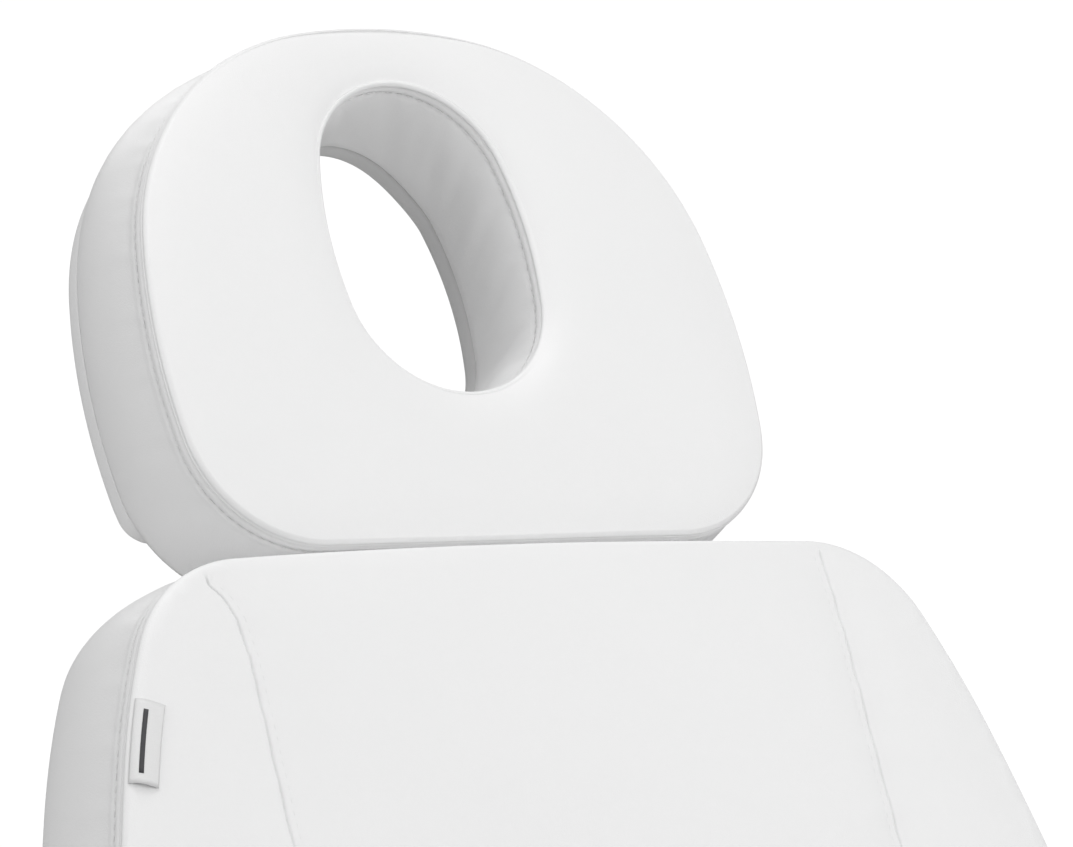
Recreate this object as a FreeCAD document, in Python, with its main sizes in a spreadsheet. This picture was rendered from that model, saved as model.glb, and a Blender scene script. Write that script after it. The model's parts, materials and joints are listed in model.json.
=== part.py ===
"""Electric treatment chair with a face-hole headrest: three lift, back and leg motions.

Axes: +X to the chair's left as its user sits, +Y towards the head, +Z up. Millimetres.
Origin: on the floor, under the middle of the chair's bounding box.
"""
import FreeCAD, Part
import Sketcher
import math
import os

Vector = FreeCAD.Vector
Rotation = FreeCAD.Rotation
Placement = FreeCAD.Placement
X_AXIS = Vector(1, 0, 0)
Y_AXIS = Vector(0, 1, 0)
Z_AXIS = Vector(0, 0, 1)
NO_TURN = Rotation()
TO_X = Rotation(Y_AXIS, 90)
TO_Y = Rotation(X_AXIS, -90)

DIMENSIONS = {
    # whole chair
    "centre_shift": -25, "tube_wall": 2.5, "slip": 0.05, "overshoot": 1, "lap": 1,
    # base
    "bar_len": 540, "bar_wide": 60, "bar_high": 40, "bar_floor": 22,
    "bar_front": -300, "bar_rear": 360, "rail_inner": 90, "rail_wide": 60,
    "plate_len": 260, "plate_wide": 300, "plate_thick": 10,
    "cover_len": 760, "cover_wide": 600, "cover_high": 70, "cover_floor": 15, "cover_front": -320,
    "cover_wall": 3, "cover_corner": 70, "cover_edge": 20,
    "pad_r": 26, "pad_high": 12, "stud_r": 5, "nut_r": 9, "nut_high": 9,
    "foot_x": 235, "foot_front": -270, "foot_rear": 390,
    # telescopic column
    "outer_side": 150, "middle_side": 138, "inner_side": 126, "column_wall": 4, "column_corner": 14,
    "middle_corner": 10, "inner_corner": 8,
    "outer_low": 72, "outer_high": 402, "middle_low": 84, "middle_high": 432, "inner_low": 96,
    "inner_high": 462, "collar_high": 8, "collar_gap": 0.4,
    "motor_side": 70, "motor_high": 68, "lift_tube_r": 24, "lift_tube_bore": 18, "lift_tube_top": 420,
    "spindle_r": 17, "spindle_low": 148,
    # seat
    "top_len": 240, "top_wide": 220, "top_thick": 8,
    "cross_half": 304, "cross_wide": 40, "cross_high": 30, "cross_inner": 50,
    "side_inner": 180, "side_wide": 40, "side_high": 25, "side_half_len": 200,
    "clevis_gap": 6, "clevis_cheek": 8,
    "side_front": 45, "side_rear": 95, "side_low": 465, "side_top": 520, "side_flank": 12.7, "side_lift": 18,
    "board_thick": 15, "board_inset": 8, "seat_wide": 560, "seat_front": -227, "seat_rear": 213,
    "seat_foam": 68, "seat_corner": 45, "foam_edge": 24,
    # backrest, measured up along it from its hinge, and out towards the sitter
    "back_hinge_y": 190, "back_hinge_z": 570, "back_angle": 66,
    "back_top": 727.8, "back_board_rear": -48, "back_face": 39, "back_edge": 8,
    "crown_turn": 2.04, "crown_rad": 4964, "shoulder_turn": 63.2, "shoulder_rad": 71.2,
    "flare_turn": 8.63, "flare_rad": 455, "taper_turn": 23.7, "taper_rad": 1326, "heel_rad": 40,
    "wrap": 3, "side_plate": 6, "arm_inner": 296, "hinge_disc": 24, "hinge_r": 8,
    "bolt_head_r": 13, "bolt_head": 8, "bolt_grip": 14.5, "bolt_slack": 0.3, "bolt_nut_r": 12,
    "cap_r": 22, "cap_high": 14, "cap_edge": 6, "cap_slack": 0.5,
    "back_cross_low": 330, "back_cross_high": 590,
    "arm_toe": 16, "arm_toe_deep": 10, "arm_start": 25, "arm_lap": 6, "arm_over": 7, "arm_step": 3,
    "arm_eye": 20,
    "stile_inner": 180, "stile_wide": 40, "stile_deep": 20, "stile_low": 50, "stile_high": 640,
    "torque_low": 55, "torque_side": 30,
    # headrest
    "head_s": 738, "head_n": 18, "head_angle": 64.4, "head_foam": 69, "head_crown": 8, "head_edge": 8,
    "head_board": 13, "head_rim": 8,
    "head_top_turn": 9.8, "head_top_rad": 299, "head_shoulder_turn": 69, "head_shoulder_rad": 152.4,
    "head_side_turn": 18.8, "head_side_rad": 342, "head_corner_rad": 67.7,
    "hole_low": 84, "hole_end_turn": 76.3, "hole_end_rad": 59.9, "hole_side_turn": 22.8,
    "hole_side_rad": 213, "hole_top_rad": 57.4,
    "yoke_r": 8, "yoke_x": 60, "yoke_n": -83, "yoke_low": 510, "yoke_high": 780, "yoke_bend": 24,
    "socket_side": 30, "socket_low": 575, "socket_high": 705, "bush_r": 11,
    "knob_s": 668, "knob_r": 22, "knob_high": 26, "knob_stud_r": 4, "knob_gap": 16, "knob_edge": 3,
    "stud_gap": 0.3, "flute_r": 7, "flute_out": 26, "flute_count": 6,
    "ear_inner": 20, "ear_thick": 10, "ear_r": 14, "ear_neck": 9, "mount_half": 50, "mount_low": 25,
    "mount_high": 80, "mount_thick": 3,
    # leg rest, measured down along it from its hinge
    "leg_hinge_y": -233, "leg_hinge_z": 505, "leg_drop": 45, "leg_wide": 540, "leg_near": 10,
    "leg_far": 460, "leg_corner": 60, "leg_pin_r": 6, "leg_disc": 14,
    "leg_stile_near": 30, "leg_stile_far": 400, "leg_bar_near": 80, "leg_bar_far": 350, "leg_bar": 30,
    # actuators
    "act_x": 140, "eye_thick": 14, "cheek_gap": 1, "cheek": 6, "act_pin_r": 5,
    "back_lever": 85, "back_lever_turn": -98.5, "back_foot_y": -225, "back_foot_z": -200,
    "back_reach": 333.83, "back_rise": 26.36, "back_eye_hole": 13.6,
    "leg_lever": 56, "leg_lever_turn": -14, "leg_foot_y": 200, "leg_foot_z": -72,
    "leg_reach": 227.89, "leg_rise": 6.91, "leg_eye_hole": 10.3,
    "eye_wall": 5, "act_tube_r": 15, "act_rod_r": 8, "gear_len": 90, "gear_wide": 46, "gear_up": 20,
    "gear_down": 50, "foot_disc": 14,
    "gear_start": 18, "back_tube_end": 212, "back_rod": 190, "leg_tube_end": 182, "leg_rod": 150,
    "bore_start": 42, "foot_neck": 10, "back_lever_disc": 15, "leg_lever_disc": 13,
    # armrests
    "post_wide": 30, "post_deep": 40, "post_high": 300, "arm_y": 70, "arm_z": 745, "arm_plate": 6,
    "arm_gap": 1, "arm_front": -150, "arm_rear": 88, "shelf_low": 768, "shelf_thick": 4, "shelf_wide": 79,
    "rest_wide": 90, "rest_front": -200, "rest_rear": 100, "rest_high": 36, "rest_corner": 38,
    "rest_edge": 14, "web_half": 17, "web_disc": 18, "web_tip": 14, "rest_gap": 1,
    # handset and its holder
    "cup_wide": 62, "cup_deep": 32, "cup_high": 60, "cup_low": 400, "cup_wall": 4, "cup_y": -70,
    "cup_lip": 1, "tongue_rise": 40,
    "phone_wide": 52, "phone_deep": 24, "phone_high": 150, "phone_gap": 1, "phone_edge": 5,
    "key_r": 7, "key_high": 4, "key_proud": 2.6, "key_gap": 0.3, "key_step_y": 22, "key_step_z": 26,
    "key_low": 78,
    # mains inlet and switch
    "inlet_wide": 68, "inlet_high": 28, "inlet_z": 50, "inlet_flange": 3, "inlet_body_wide": 58,
    "inlet_body_high": 22, "inlet_deep": 18, "recess_wide": 24, "recess_high": 16, "recess_deep": 15,
    "recess_x": -15, "contact_long": 10, "rocker_x": 16, "rocker_wide": 19.2, "rocker_high": 14,
    "rocker_deep": 6, "rocker_slot_wide": 20, "rocker_slot_high": 15.4, "rocker_tilt": 6,
    # control box
    "box_wide": 140, "box_len": 150, "box_high": 30, "box_y": 190, "box_z": 26,
    "pin_wide": 2, "pin_high": 4, "pin_x": 7, "pin_z": 2, "rocker_proud": 1,
    # sewn tab
    "tab_long": 43, "tab_wide": 16, "tab_thick": 1.2, "tab_s": 632, "tab_inset": 2, "tab_gap": 0.3,
}


class Dim:
    """A size with its spreadsheet expression, so that arithmetic on it can be bound."""

    def __init__(self, value, text):
        self.value = float(value)
        self.text = text

    def __float__(self):
        return self.value

    def __add__(self, other):
        return Dim(self.value + float(other), "(%s + %s)" % (self.text, words(other)))

    def __sub__(self, other):
        return Dim(self.value - float(other), "(%s - %s)" % (self.text, words(other)))

    def __radd__(self, other):
        return Dim(float(other) + self.value, "(%s + %s)" % (words(other), self.text))

    def __rsub__(self, other):
        return Dim(float(other) - self.value, "(%s - %s)" % (words(other), self.text))

    def __mul__(self, factor):
        return Dim(self.value * float(factor), "(%s * %s)" % (self.text, words(factor)))

    def __truediv__(self, divisor):
        return Dim(self.value / float(divisor), "(%s / %s)" % (self.text, words(divisor)))

    def __neg__(self):
        return Dim(-self.value, "(-1 * %s)" % self.text)


def words(number):
    """The expression text of a Dim or a plain number."""
    return number.text if isinstance(number, Dim) else repr(float(number))


class Sheet:
    """The driving dimensions, read as attributes."""

    def __init__(self, document, values):
        self.table = document.addObject("Spreadsheet::Sheet", "dims")
        for row, (alias, value) in enumerate(values.items(), start=1):
            self.table.set("A%d" % row, alias)
            self.table.set("B%d" % row, str(value))
            self.table.setAlias("B%d" % row, alias)
        document.recompute()

    def __getattr__(self, alias):
        return Dim(getattr(self.table, alias), "dims." + alias)


doc = FreeCAD.newDocument("treatment_chair")
d = Sheet(doc, DIMENSIONS)
nodes = []


# ---------------------------------------------------------------- building blocks

def point(x, y, z):
    return Vector(float(x), float(y), float(z))


def bind(thing, **sizes):
    """Set each property, and bind it to the sheet when its size comes from there."""
    for name, value in sizes.items():
        setattr(thing, name, float(value))
        if isinstance(value, Dim):
            thing.setExpression(name, value.text)
    return thing


def put(thing, at, frame=Placement(), turn=NO_TURN):
    """Place a thing at a point of a frame."""
    thing.Placement = frame.multiply(Placement(point(*at), turn))
    return thing


def node(label, thing):
    """Name a finished sub-part; its label names its file."""
    thing.Label = label
    nodes.append(thing)
    return thing


def box(name, length, width, height, at=(0, 0, 0), turn=NO_TURN):
    made = bind(doc.addObject("Part::Box", name), Length=length, Width=width, Height=height)
    return put(made, at, turn=turn)


def rod(name, radius, length, at=(0, 0, 0), turn=NO_TURN):
    made = bind(doc.addObject("Part::Cylinder", name), Radius=radius, Height=length)
    return put(made, at, turn=turn)


def cut(name, base, *tools):
    for count, tool in enumerate(tools):
        made = doc.addObject("Part::Cut", "%s_cut%d" % (name, count))
        made.Base = base
        made.Tool = tool
        base = made
    return base


def fuse(name, *shapes):
    made = doc.addObject("Part::MultiFuse", name)
    made.Shapes = list(shapes)
    made.Refine = True
    return made


def group(name, *solids):
    """Separate solids that share one node."""
    made = doc.addObject("Part::Compound", name)
    made.Links = list(solids)
    return made


def tube(name, along, size_x, size_y, size_z, at):
    """A rectangular tube with open ends; along is the index of its long axis."""
    outer = box(name + "_outside", size_x, size_y, size_z)
    sizes = [size_x, size_y, size_z]
    corner = [d.tube_wall] * 3
    inner = [size - d.tube_wall * 2 for size in sizes]
    inner[along] = sizes[along] + d.overshoot * 2
    corner[along] = -d.overshoot
    made = cut(name, outer, box(name + "_inside", *inner, at=corner))
    return put(made, at)


def origin_plane(body, role):
    return [feature for feature in body.Origin.OriginFeatures if feature.Role == role][0]


def sketch_in(body, name, role="XY_Plane", height=0.0):
    sketch = body.newObject("Sketcher::SketchObject", name)
    sketch.AttachmentSupport = (origin_plane(body, role), [""])
    sketch.MapMode = "FlatFace"
    sketch.AttachmentOffset = Placement(Vector(0, 0, float(height)), NO_TURN)
    return sketch


def pin_down(sketch, item, spot, axis, value):
    """Fix one coordinate of a sketch point, bound to the sheet where it comes from there."""
    if abs(float(value)) < 1e-9:
        sketch.addConstraint(Sketcher.Constraint("PointOnObject", item, spot, -2 if axis == "X" else -1))
        return
    ends = (-1, 1, item, spot)
    if float(value) < 0:
        ends = (item, spot, -1, 1)
        value = -value
    number = sketch.addConstraint(Sketcher.Constraint("Distance" + axis, *ends, float(value)))
    if isinstance(value, Dim):
        sketch.setExpression("Constraints[%d]" % number, value.text)


def polygon(sketch, corners):
    """A closed outline of straight lines with every corner fixed."""
    flat = [Vector(float(x), float(y), 0) for x, y in corners]
    first = sketch.GeometryCount
    for here, there in zip(flat, flat[1:] + flat[:1]):
        sketch.addGeometry(Part.LineSegment(here, there))
    count = len(corners)
    for number in range(count):
        follower = first + (number + 1) % count
        sketch.addConstraint(Sketcher.Constraint("Coincident", first + number, 2, follower, 1))
    for number, (x, y) in enumerate(corners):
        pin_down(sketch, first + number, 1, "X", x)
        pin_down(sketch, first + number, 1, "Y", y)


def circle(sketch, x, y, radius):
    item = sketch.addGeometry(Part.Circle(Vector(float(x), float(y), 0), Z_AXIS, float(radius)))
    number = sketch.addConstraint(Sketcher.Constraint("Radius", item, float(radius)))
    if isinstance(radius, Dim):
        sketch.setExpression("Constraints[%d]" % number, radius.text)
    pin_down(sketch, item, 3, "X", x)
    pin_down(sketch, item, 3, "Y", y)


def rectangle(x_low, x_high, y_low, y_high):
    return [(x_low, y_low), (x_high, y_low), (x_high, y_high), (x_low, y_high)]


def pad(body, sketch, length, name, reverse=False):
    made = body.newObject("PartDesign::Pad", name)
    made.Profile = sketch
    bind(made, Length=length)
    made.Reversed = reverse
    doc.recompute()
    return made


def pocket_through(body, sketch, name):
    """Cut right through, both ways from the sketch, and check that something went."""
    before = body.Shape.Volume
    made = body.newObject("PartDesign::Pocket", name)
    made.Profile = sketch
    made.Type = 1
    made.Midplane = True
    doc.recompute()
    if body.Shape.Volume >= before:
        raise RuntimeError(name + " cuts nothing")
    return made


def pocket(body, sketch, depth, name, reverse=False):
    before = body.Shape.Volume
    made = body.newObject("PartDesign::Pocket", name)
    made.Profile = sketch
    bind(made, Length=depth)
    made.Reversed = reverse
    doc.recompute()
    if body.Shape.Volume >= before:
        raise RuntimeError(name + " cuts nothing")
    return made


def soften(body, radius, name, chosen):
    """Round the edges of the body's last feature that the test picks."""
    base = body.Tip
    names = ["Edge%d" % (n + 1) for n, edge in enumerate(base.Shape.Edges) if chosen(edge)]
    made = body.newObject("PartDesign::Fillet", name)
    made.Base = (base, names)
    bind(made, Radius=radius)
    doc.recompute()
    return made


def at_height(level):
    """A test for edges that lie flat at one height of the body."""
    return lambda edge: (abs(edge.BoundBox.ZMin - float(level)) < 0.01
                         and abs(edge.BoundBox.ZMax - float(level)) < 0.01)


def upright(edge):
    return edge.BoundBox.XLength < 0.01 and edge.BoundBox.YLength < 0.01


def slab(name, outline, thick, corner, edge, height=0.0):
    """A padded rectangle with round corners and a round upper edge."""
    body = doc.addObject("PartDesign::Body", name)
    sketch = sketch_in(body, name + "_outline", height=height)
    polygon(sketch, outline)
    pad(body, sketch, thick, name + "_pad")
    soften(body, corner, name + "_corners", upright)
    if edge is not None:
        soften(body, edge, name + "_edge", at_height(float(height) + float(thick)))
    return body


def plate(name, corners, thick, discs=(), holes=()):
    """A flat plate in the YZ plane, thick along +X, with round ends and holes."""
    body = doc.addObject("PartDesign::Body", name)
    sketch = sketch_in(body, name + "_outline", "YZ_Plane")
    polygon(sketch, corners)
    pad(body, sketch, thick, name + "_pad")
    for count, (y, z, radius) in enumerate(discs):
        round_end = sketch_in(body, "%s_disc%d" % (name, count), "YZ_Plane")
        circle(round_end, y, z, radius)
        pad(body, round_end, thick, "%s_boss%d" % (name, count))
    for count, (y, z, radius) in enumerate(holes):
        hole = sketch_in(body, "%s_hole%d" % (name, count), "YZ_Plane")
        circle(hole, y, z, radius)
        pocket_through(body, hole, "%s_bore%d" % (name, count))
    return body


def arc_chain(start, turns):
    """Arcs that follow each other clockwise from a start, heading along +X first.

    Each turn is (radius, degrees). Returns the arcs and the point where they end.
    """
    x, y = start
    heading = 0.0
    arcs = []
    for radius, degrees in turns:
        turn = math.radians(float(degrees))
        radius = float(radius)
        centre_x = x + radius * math.sin(heading)
        centre_y = y - radius * math.cos(heading)
        points = []
        for share in (0, 0.5, 1):
            angle = heading - turn * share
            points.append(Vector(centre_x - radius * math.sin(angle),
                                 centre_y + radius * math.cos(angle), 0))
        arcs.append(points)
        heading -= turn
        x, y = points[-1].x, points[-1].y
    return arcs, points[-1]


def mirrored(points):
    return [Vector(-p.x, p.y, 0) for p in reversed(points)]


def closed_arcs(sketch, arcs):
    """Draw one half of an outline and its mirror image, joined by a level line if need be."""
    for points in arcs + [mirrored(points) for points in reversed(arcs)]:
        sketch.addGeometry(Part.Arc(*points))
    end = arcs[-1][-1]
    if end.x > 0.01:
        sketch.addGeometry(Part.LineSegment(end, Vector(-end.x, end.y, 0)))


def shaped_slab(name, arcs, low, high, hole=None, edge=None, rim=None):
    """A slab with a curved outline between two heights, with an opening and soft front edges."""
    body = doc.addObject("PartDesign::Body", name)
    outline = sketch_in(body, name + "_outline", height=low)
    closed_arcs(outline, arcs)
    pad(body, outline, high - low, name + "_pad")
    if edge is not None:
        soften(body, edge, name + "_edge", at_height(high))
    if hole is not None:
        opening = sketch_in(body, name + "_opening", height=low)
        closed_arcs(opening, hole)
        pocket_through(body, opening, name + "_through")
    if rim is not None:
        soften(body, rim, name + "_rim", lambda side: at_height(high)(side) and within(side, hole))
    return body


def within(edge, hole):
    """Whether an edge belongs to the opening: no further out than its widest point."""
    widest = max(abs(p.x) for points in hole for p in points) + 0.5
    return max(abs(edge.BoundBox.XMin), abs(edge.BoundBox.XMax)) < widest


# ---------------------------------------------------------------- frames of the moving groups

WORLD = Placement(point(0, d.centre_shift, 0), NO_TURN)
BACK = WORLD.multiply(Placement(point(0, d.back_hinge_y, d.back_hinge_z),
                                Rotation(X_AXIS, float(d.back_angle))))
HEAD = BACK.multiply(Placement(point(0, d.head_s, d.head_n),
                               Rotation(X_AXIS, float(d.head_angle) - float(d.back_angle))))
LEG = WORLD.multiply(Placement(point(0, d.leg_hinge_y, d.leg_hinge_z),
                               Rotation(X_AXIS, float(d.leg_drop))))


# ---------------------------------------------------------------- base and column

def base_frame():
    """Two foot bars joined by two rails, all of rectangular steel tube."""
    bars = [tube("foot_bar%d" % n, 0, d.bar_len, d.bar_wide, d.bar_high, (-d.bar_len / 2, y, d.bar_floor))
            for n, y in enumerate((d.bar_front, d.bar_rear))]
    rail_len = d.bar_rear - d.bar_front - d.bar_wide
    rails = [tube("base_rail%d" % n, 1, d.rail_wide, rail_len, d.bar_high,
                  (x, d.bar_front + d.bar_wide, d.bar_floor))
             for n, x in enumerate((d.rail_inner, -d.rail_inner - d.rail_wide))]
    node("base_frame", put(group("base_frame", *bars, *rails), (0, 0, 0), WORLD))


def column_plate():
    corner = (-d.plate_wide / 2, -d.plate_len / 2, d.bar_floor + d.bar_high)
    made = box("column_plate", d.plate_wide, d.plate_len, d.plate_thick)
    node("column_plate", put(made, corner, WORLD))


def base_cover():
    """A low moulded shell over the frame, open below, with a column hole and an inlet window."""
    half = d.cover_wide / 2
    rear = d.cover_front + d.cover_len
    wall = d.cover_wall
    outer = slab("cover_outside", rectangle(-half, half, d.cover_front, rear), d.cover_high,
                 d.cover_corner, d.cover_edge)
    inner = slab("cover_inside", rectangle(wall - half, half - wall, d.cover_front + wall, rear - wall),
                 d.cover_high, d.cover_corner - wall, d.cover_edge - wall, height=-wall)
    gap = d.collar_gap
    side = d.outer_side + gap * 2
    hole = box("cover_hole", side, side, d.cover_high * 2, at=(-side / 2, -side / 2, 0))
    window = box("cover_window", d.inlet_body_wide, wall * 4, d.inlet_body_high,
                 at=(-d.inlet_body_wide / 2, rear - wall * 2,
                     d.inlet_z - d.cover_floor - d.inlet_body_high / 2))
    made = cut("base_cover", outer, inner, hole, window)
    node("base_cover", put(made, (0, 0, d.cover_floor), WORLD))


def feet():
    """Four rubber pads on threaded studs with lock nuts under the foot bars."""
    pads = []
    studs = []
    for number, (x, y) in enumerate(((d.foot_x, d.foot_front), (-d.foot_x, d.foot_front),
                                     (d.foot_x, d.foot_rear), (-d.foot_x, d.foot_rear))):
        pads.append(rod("foot_pad%d" % number, d.pad_r, d.pad_high, at=(x, y, 0)))
        shank = rod("foot_shank%d" % number, d.stud_r, d.bar_floor - d.pad_high, at=(x, y, d.pad_high))
        nut = rod("foot_nut%d" % number, d.nut_r, d.nut_high, at=(x, y, d.bar_floor - d.nut_high))
        studs.append(fuse("foot_stud%d" % number, shank, nut))
    node("foot_pads", put(group("foot_pads", *pads), (0, 0, 0), WORLD))
    node("foot_studs", put(group("foot_studs", *studs), (0, 0, 0), WORLD))


def square_stage(label, side, bore, low, high, corner):
    """One stage of the column: a square tube with round corners."""
    half = side / 2
    outer = slab(label + "_outside", rectangle(-half, half, -half, half), high - low, corner, None)
    half = bore / 2
    inner = slab(label + "_inside", rectangle(-half, half, -half, half), high - low + d.overshoot * 2,
                 corner - (side - bore) / 2, None, height=-d.overshoot)
    node(label, put(cut(label, outer, inner), (0, 0, low), WORLD))


def column():
    wall = d.column_wall * 2
    gap = d.collar_gap * 2
    square_stage("column_outer", d.outer_side, d.outer_side - wall, d.outer_low, d.outer_high,
                 d.column_corner)
    square_stage("column_middle", d.middle_side, d.middle_side - wall, d.middle_low, d.middle_high,
                 d.middle_corner)
    square_stage("column_inner", d.inner_side, d.inner_side - wall, d.inner_low, d.inner_high,
                 d.inner_corner)
    square_stage("outer_collar", d.outer_side, d.middle_side + gap, d.outer_high,
                 d.outer_high + d.collar_high, d.column_corner)
    square_stage("middle_collar", d.middle_side, d.inner_side + gap, d.middle_high,
                 d.middle_high + d.collar_high, d.middle_corner)


def lift_drive():
    """Gear motor and guide tube on the base plate, and the spindle under the seat."""
    side = d.motor_side
    motor = box("motor_box", side, side, d.motor_high, at=(-side / 2, -side / 2, d.outer_low))
    start = d.outer_low + d.motor_high
    barrel = rod("motor_barrel", d.lift_tube_r, d.lift_tube_top - start, at=(0, 0, start))
    bore = rod("motor_bore", d.lift_tube_bore, d.lift_tube_top, at=(0, 0, start))
    made = group("lift_motor", motor, cut("lift_barrel", barrel, bore))
    node("lift_motor", put(made, (0, 0, 0), WORLD))
    spindle = rod("lift_spindle", d.spindle_r, d.inner_high - d.spindle_low)
    node("lift_spindle", put(spindle, (0, 0, d.spindle_low), WORLD))


def mains_inlet():
    """One moulding with a recessed three-pin socket and a slot for the rocker switch."""
    flange = box("inlet_flange", d.inlet_wide, d.inlet_flange, d.inlet_high,
                 at=(-d.inlet_wide / 2, 0, -d.inlet_high / 2))
    body = box("inlet_body", d.inlet_body_wide, d.inlet_deep, d.inlet_body_high,
               at=(-d.inlet_body_wide / 2, -d.inlet_deep, -d.inlet_body_high / 2))
    depth = d.recess_deep
    recess = box("inlet_recess", d.recess_wide, depth + d.overshoot, d.recess_high,
                 at=(d.recess_x - d.recess_wide / 2, d.inlet_flange - depth, -d.recess_high / 2))
    slot = box("rocker_slot", d.rocker_slot_wide, depth + d.overshoot, d.rocker_slot_high,
               at=(d.rocker_x - d.rocker_slot_wide / 2, d.inlet_flange - depth,
                   -d.rocker_slot_high / 2))
    pins = [box("inlet_pin%d" % n, d.pin_wide, d.contact_long, d.pin_high,
                at=(d.recess_x + x - d.pin_wide / 2, d.inlet_flange - depth, z - d.pin_high / 2))
            for n, (x, z) in enumerate(((-d.pin_x, -d.pin_z), (0, d.pin_z), (d.pin_x, -d.pin_z)))]
    made = fuse("mains_inlet", cut("inlet_shell", fuse("inlet_block", flange, body), recess, slot), *pins)
    face = d.cover_front + d.cover_len
    node("mains_inlet", put(made, (0, face, d.inlet_z), WORLD))
    rocker = box("rocker_body", d.rocker_wide, d.rocker_deep, d.rocker_high,
                 at=(-d.rocker_wide / 2, -d.rocker_deep / 2, -d.rocker_high / 2))
    made = put(group("mains_switch", rocker), (d.rocker_x, face + d.rocker_proud, d.inlet_z), WORLD,
               Rotation(X_AXIS, float(d.rocker_tilt)))
    node("mains_switch", made)


def control_box():
    made = box("control_box", d.box_wide, d.box_len, d.box_high)
    node("control_box", put(made, (-d.box_wide / 2, d.box_y, d.box_z), WORLD))


# ---------------------------------------------------------------- seat

def ear_pair(name, corners, y, z, radius, hole, x, half_gap, thick):
    """Two cheek plates either side of an eye centred on x."""
    cheeks = []
    for number, start in enumerate((x - half_gap - thick, x + half_gap)):
        cheek = plate("%s%d" % (name, number), corners, thick, [(y, z, radius)], [(y, z, hole)])
        cheeks.append(put(cheek, (start, 0, 0)))
    return cheeks


def seat_frame():
    """Two cross tubes on the column's top plate, two side rails on them, and welded brackets."""
    span = d.cross_half * 2
    high = d.inner_high + d.top_thick
    parts = [tube("seat_cross%d" % n, 0, span, d.cross_wide, d.cross_high, (-d.cross_half, y, high))
             for n, y in enumerate((d.cross_inner, -d.cross_inner - d.cross_wide))]
    rail = high + d.cross_high
    for number, x in enumerate((d.side_inner, -d.side_inner - d.side_wide)):
        parts.append(tube("seat_rail%d" % number, 1, d.side_wide, d.side_half_len * 2, d.side_high,
                          (x, -d.side_half_len, rail)))
    hinge_y = d.leg_hinge_y
    hinge_z = d.leg_hinge_z
    front = -d.side_half_len
    corners = [(front, rail), (front, rail + d.side_high), (hinge_y, hinge_z + d.leg_disc),
               (hinge_y, hinge_z - d.leg_disc)]
    middle = d.side_inner + d.side_wide / 2
    for side in (1, -1):
        parts += ear_pair("leg_clevis%d_" % side, corners, hinge_y, hinge_z, d.leg_disc, d.leg_pin_r,
                          middle * side, d.clevis_gap, d.clevis_cheek)
    half = d.eye_thick / 2 + d.cheek_gap
    y = d.back_hinge_y + d.back_foot_y
    z = d.back_hinge_z + d.back_foot_z
    corners = [(-d.cross_inner - d.cross_wide, high), (y - 13, z - 4), (y + 6, z + 10),
               (-d.cross_inner - 8, high)]
    parts += ear_pair("back_bracket", corners, y, z, d.foot_disc, d.act_pin_r, d.act_x, half, d.cheek)
    y = d.leg_hinge_y + d.leg_foot_y
    z = d.leg_hinge_z + d.leg_foot_z
    corners = [(-d.cross_inner, high + 2), (y - 5, z + 13), (y + 12, z + 7),
               (-d.cross_inner + 16, high + 28), (-d.cross_inner, high + 28)]
    parts += ear_pair("leg_bracket", corners, y, z, d.foot_disc, d.act_pin_r, -d.act_x, half, d.cheek)
    node("seat_frame", put(group("seat_frame", *parts), (0, 0, 0), WORLD))


def top_plate():
    made = box("top_plate", d.top_wide, d.top_len, d.top_thick)
    node("top_plate", put(made, (-d.top_wide / 2, -d.top_len / 2, d.inner_high), WORLD))


def frame_pins():
    """Pins of the two leg rest hinges and of the two actuators' feet."""
    clevis = (d.clevis_gap + d.clevis_cheek) * 2
    pins = []
    for number, side in enumerate((1, -1)):
        middle = (d.side_inner + d.side_wide / 2) * side
        pins.append(rod("leg_pin%d" % number, d.leg_pin_r, clevis,
                        at=(middle - clevis / 2, d.leg_hinge_y, d.leg_hinge_z), turn=TO_X))
    length = d.eye_thick + d.cheek_gap * 2 + d.cheek * 2
    feet_at = ((d.act_x, d.back_hinge_y + d.back_foot_y, d.back_hinge_z + d.back_foot_z),
               (-d.act_x, d.leg_hinge_y + d.leg_foot_y, d.leg_hinge_z + d.leg_foot_z))
    for number, (x, y, z) in enumerate(feet_at):
        pins.append(rod("foot_pin%d" % number, d.act_pin_r, length, at=(x - length / 2, y, z), turn=TO_X))
    node("frame_pins", put(group("frame_pins", *pins), (0, 0, 0), WORLD))


def side_plates():
    """Plates on the rear cross tube's ends that carry the backrest hinges."""
    y = d.back_hinge_y
    z = d.back_hinge_z
    corners = [(d.side_front, d.side_low), (d.side_rear, d.side_low), (y + d.side_flank, z - d.side_lift),
               (y - d.side_flank, z + d.side_lift), (d.side_front, d.side_top)]
    plates = []
    for number, x in enumerate((d.cross_half, -d.cross_half - d.side_plate)):
        made = plate("side_plate%d" % number, corners, d.side_plate, [(y, z, d.hinge_disc)],
                     [(y, z, d.hinge_r)])
        plates.append(put(made, (x, 0, 0)))
    node("side_plates", put(group("side_plates", *plates), (0, 0, 0), WORLD))


def shoulder_bolt(name, x, y, z, side):
    """A shoulder bolt with its head outwards at x and a lock nut at the far end of its grip."""
    turn = TO_X if side > 0 else Rotation(Y_AXIS, -90)
    head = rod(name + "_head", d.bolt_head_r, d.bolt_head)
    shank = rod(name + "_shank", d.hinge_r, d.bolt_grip, at=(0, 0, -d.bolt_grip))
    nut = rod(name + "_nut", d.bolt_nut_r, d.bolt_head, at=(0, 0, -d.bolt_grip - d.bolt_head))
    return put(fuse(name, head, shank, nut), (x * side, y, z), turn=turn)


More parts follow.
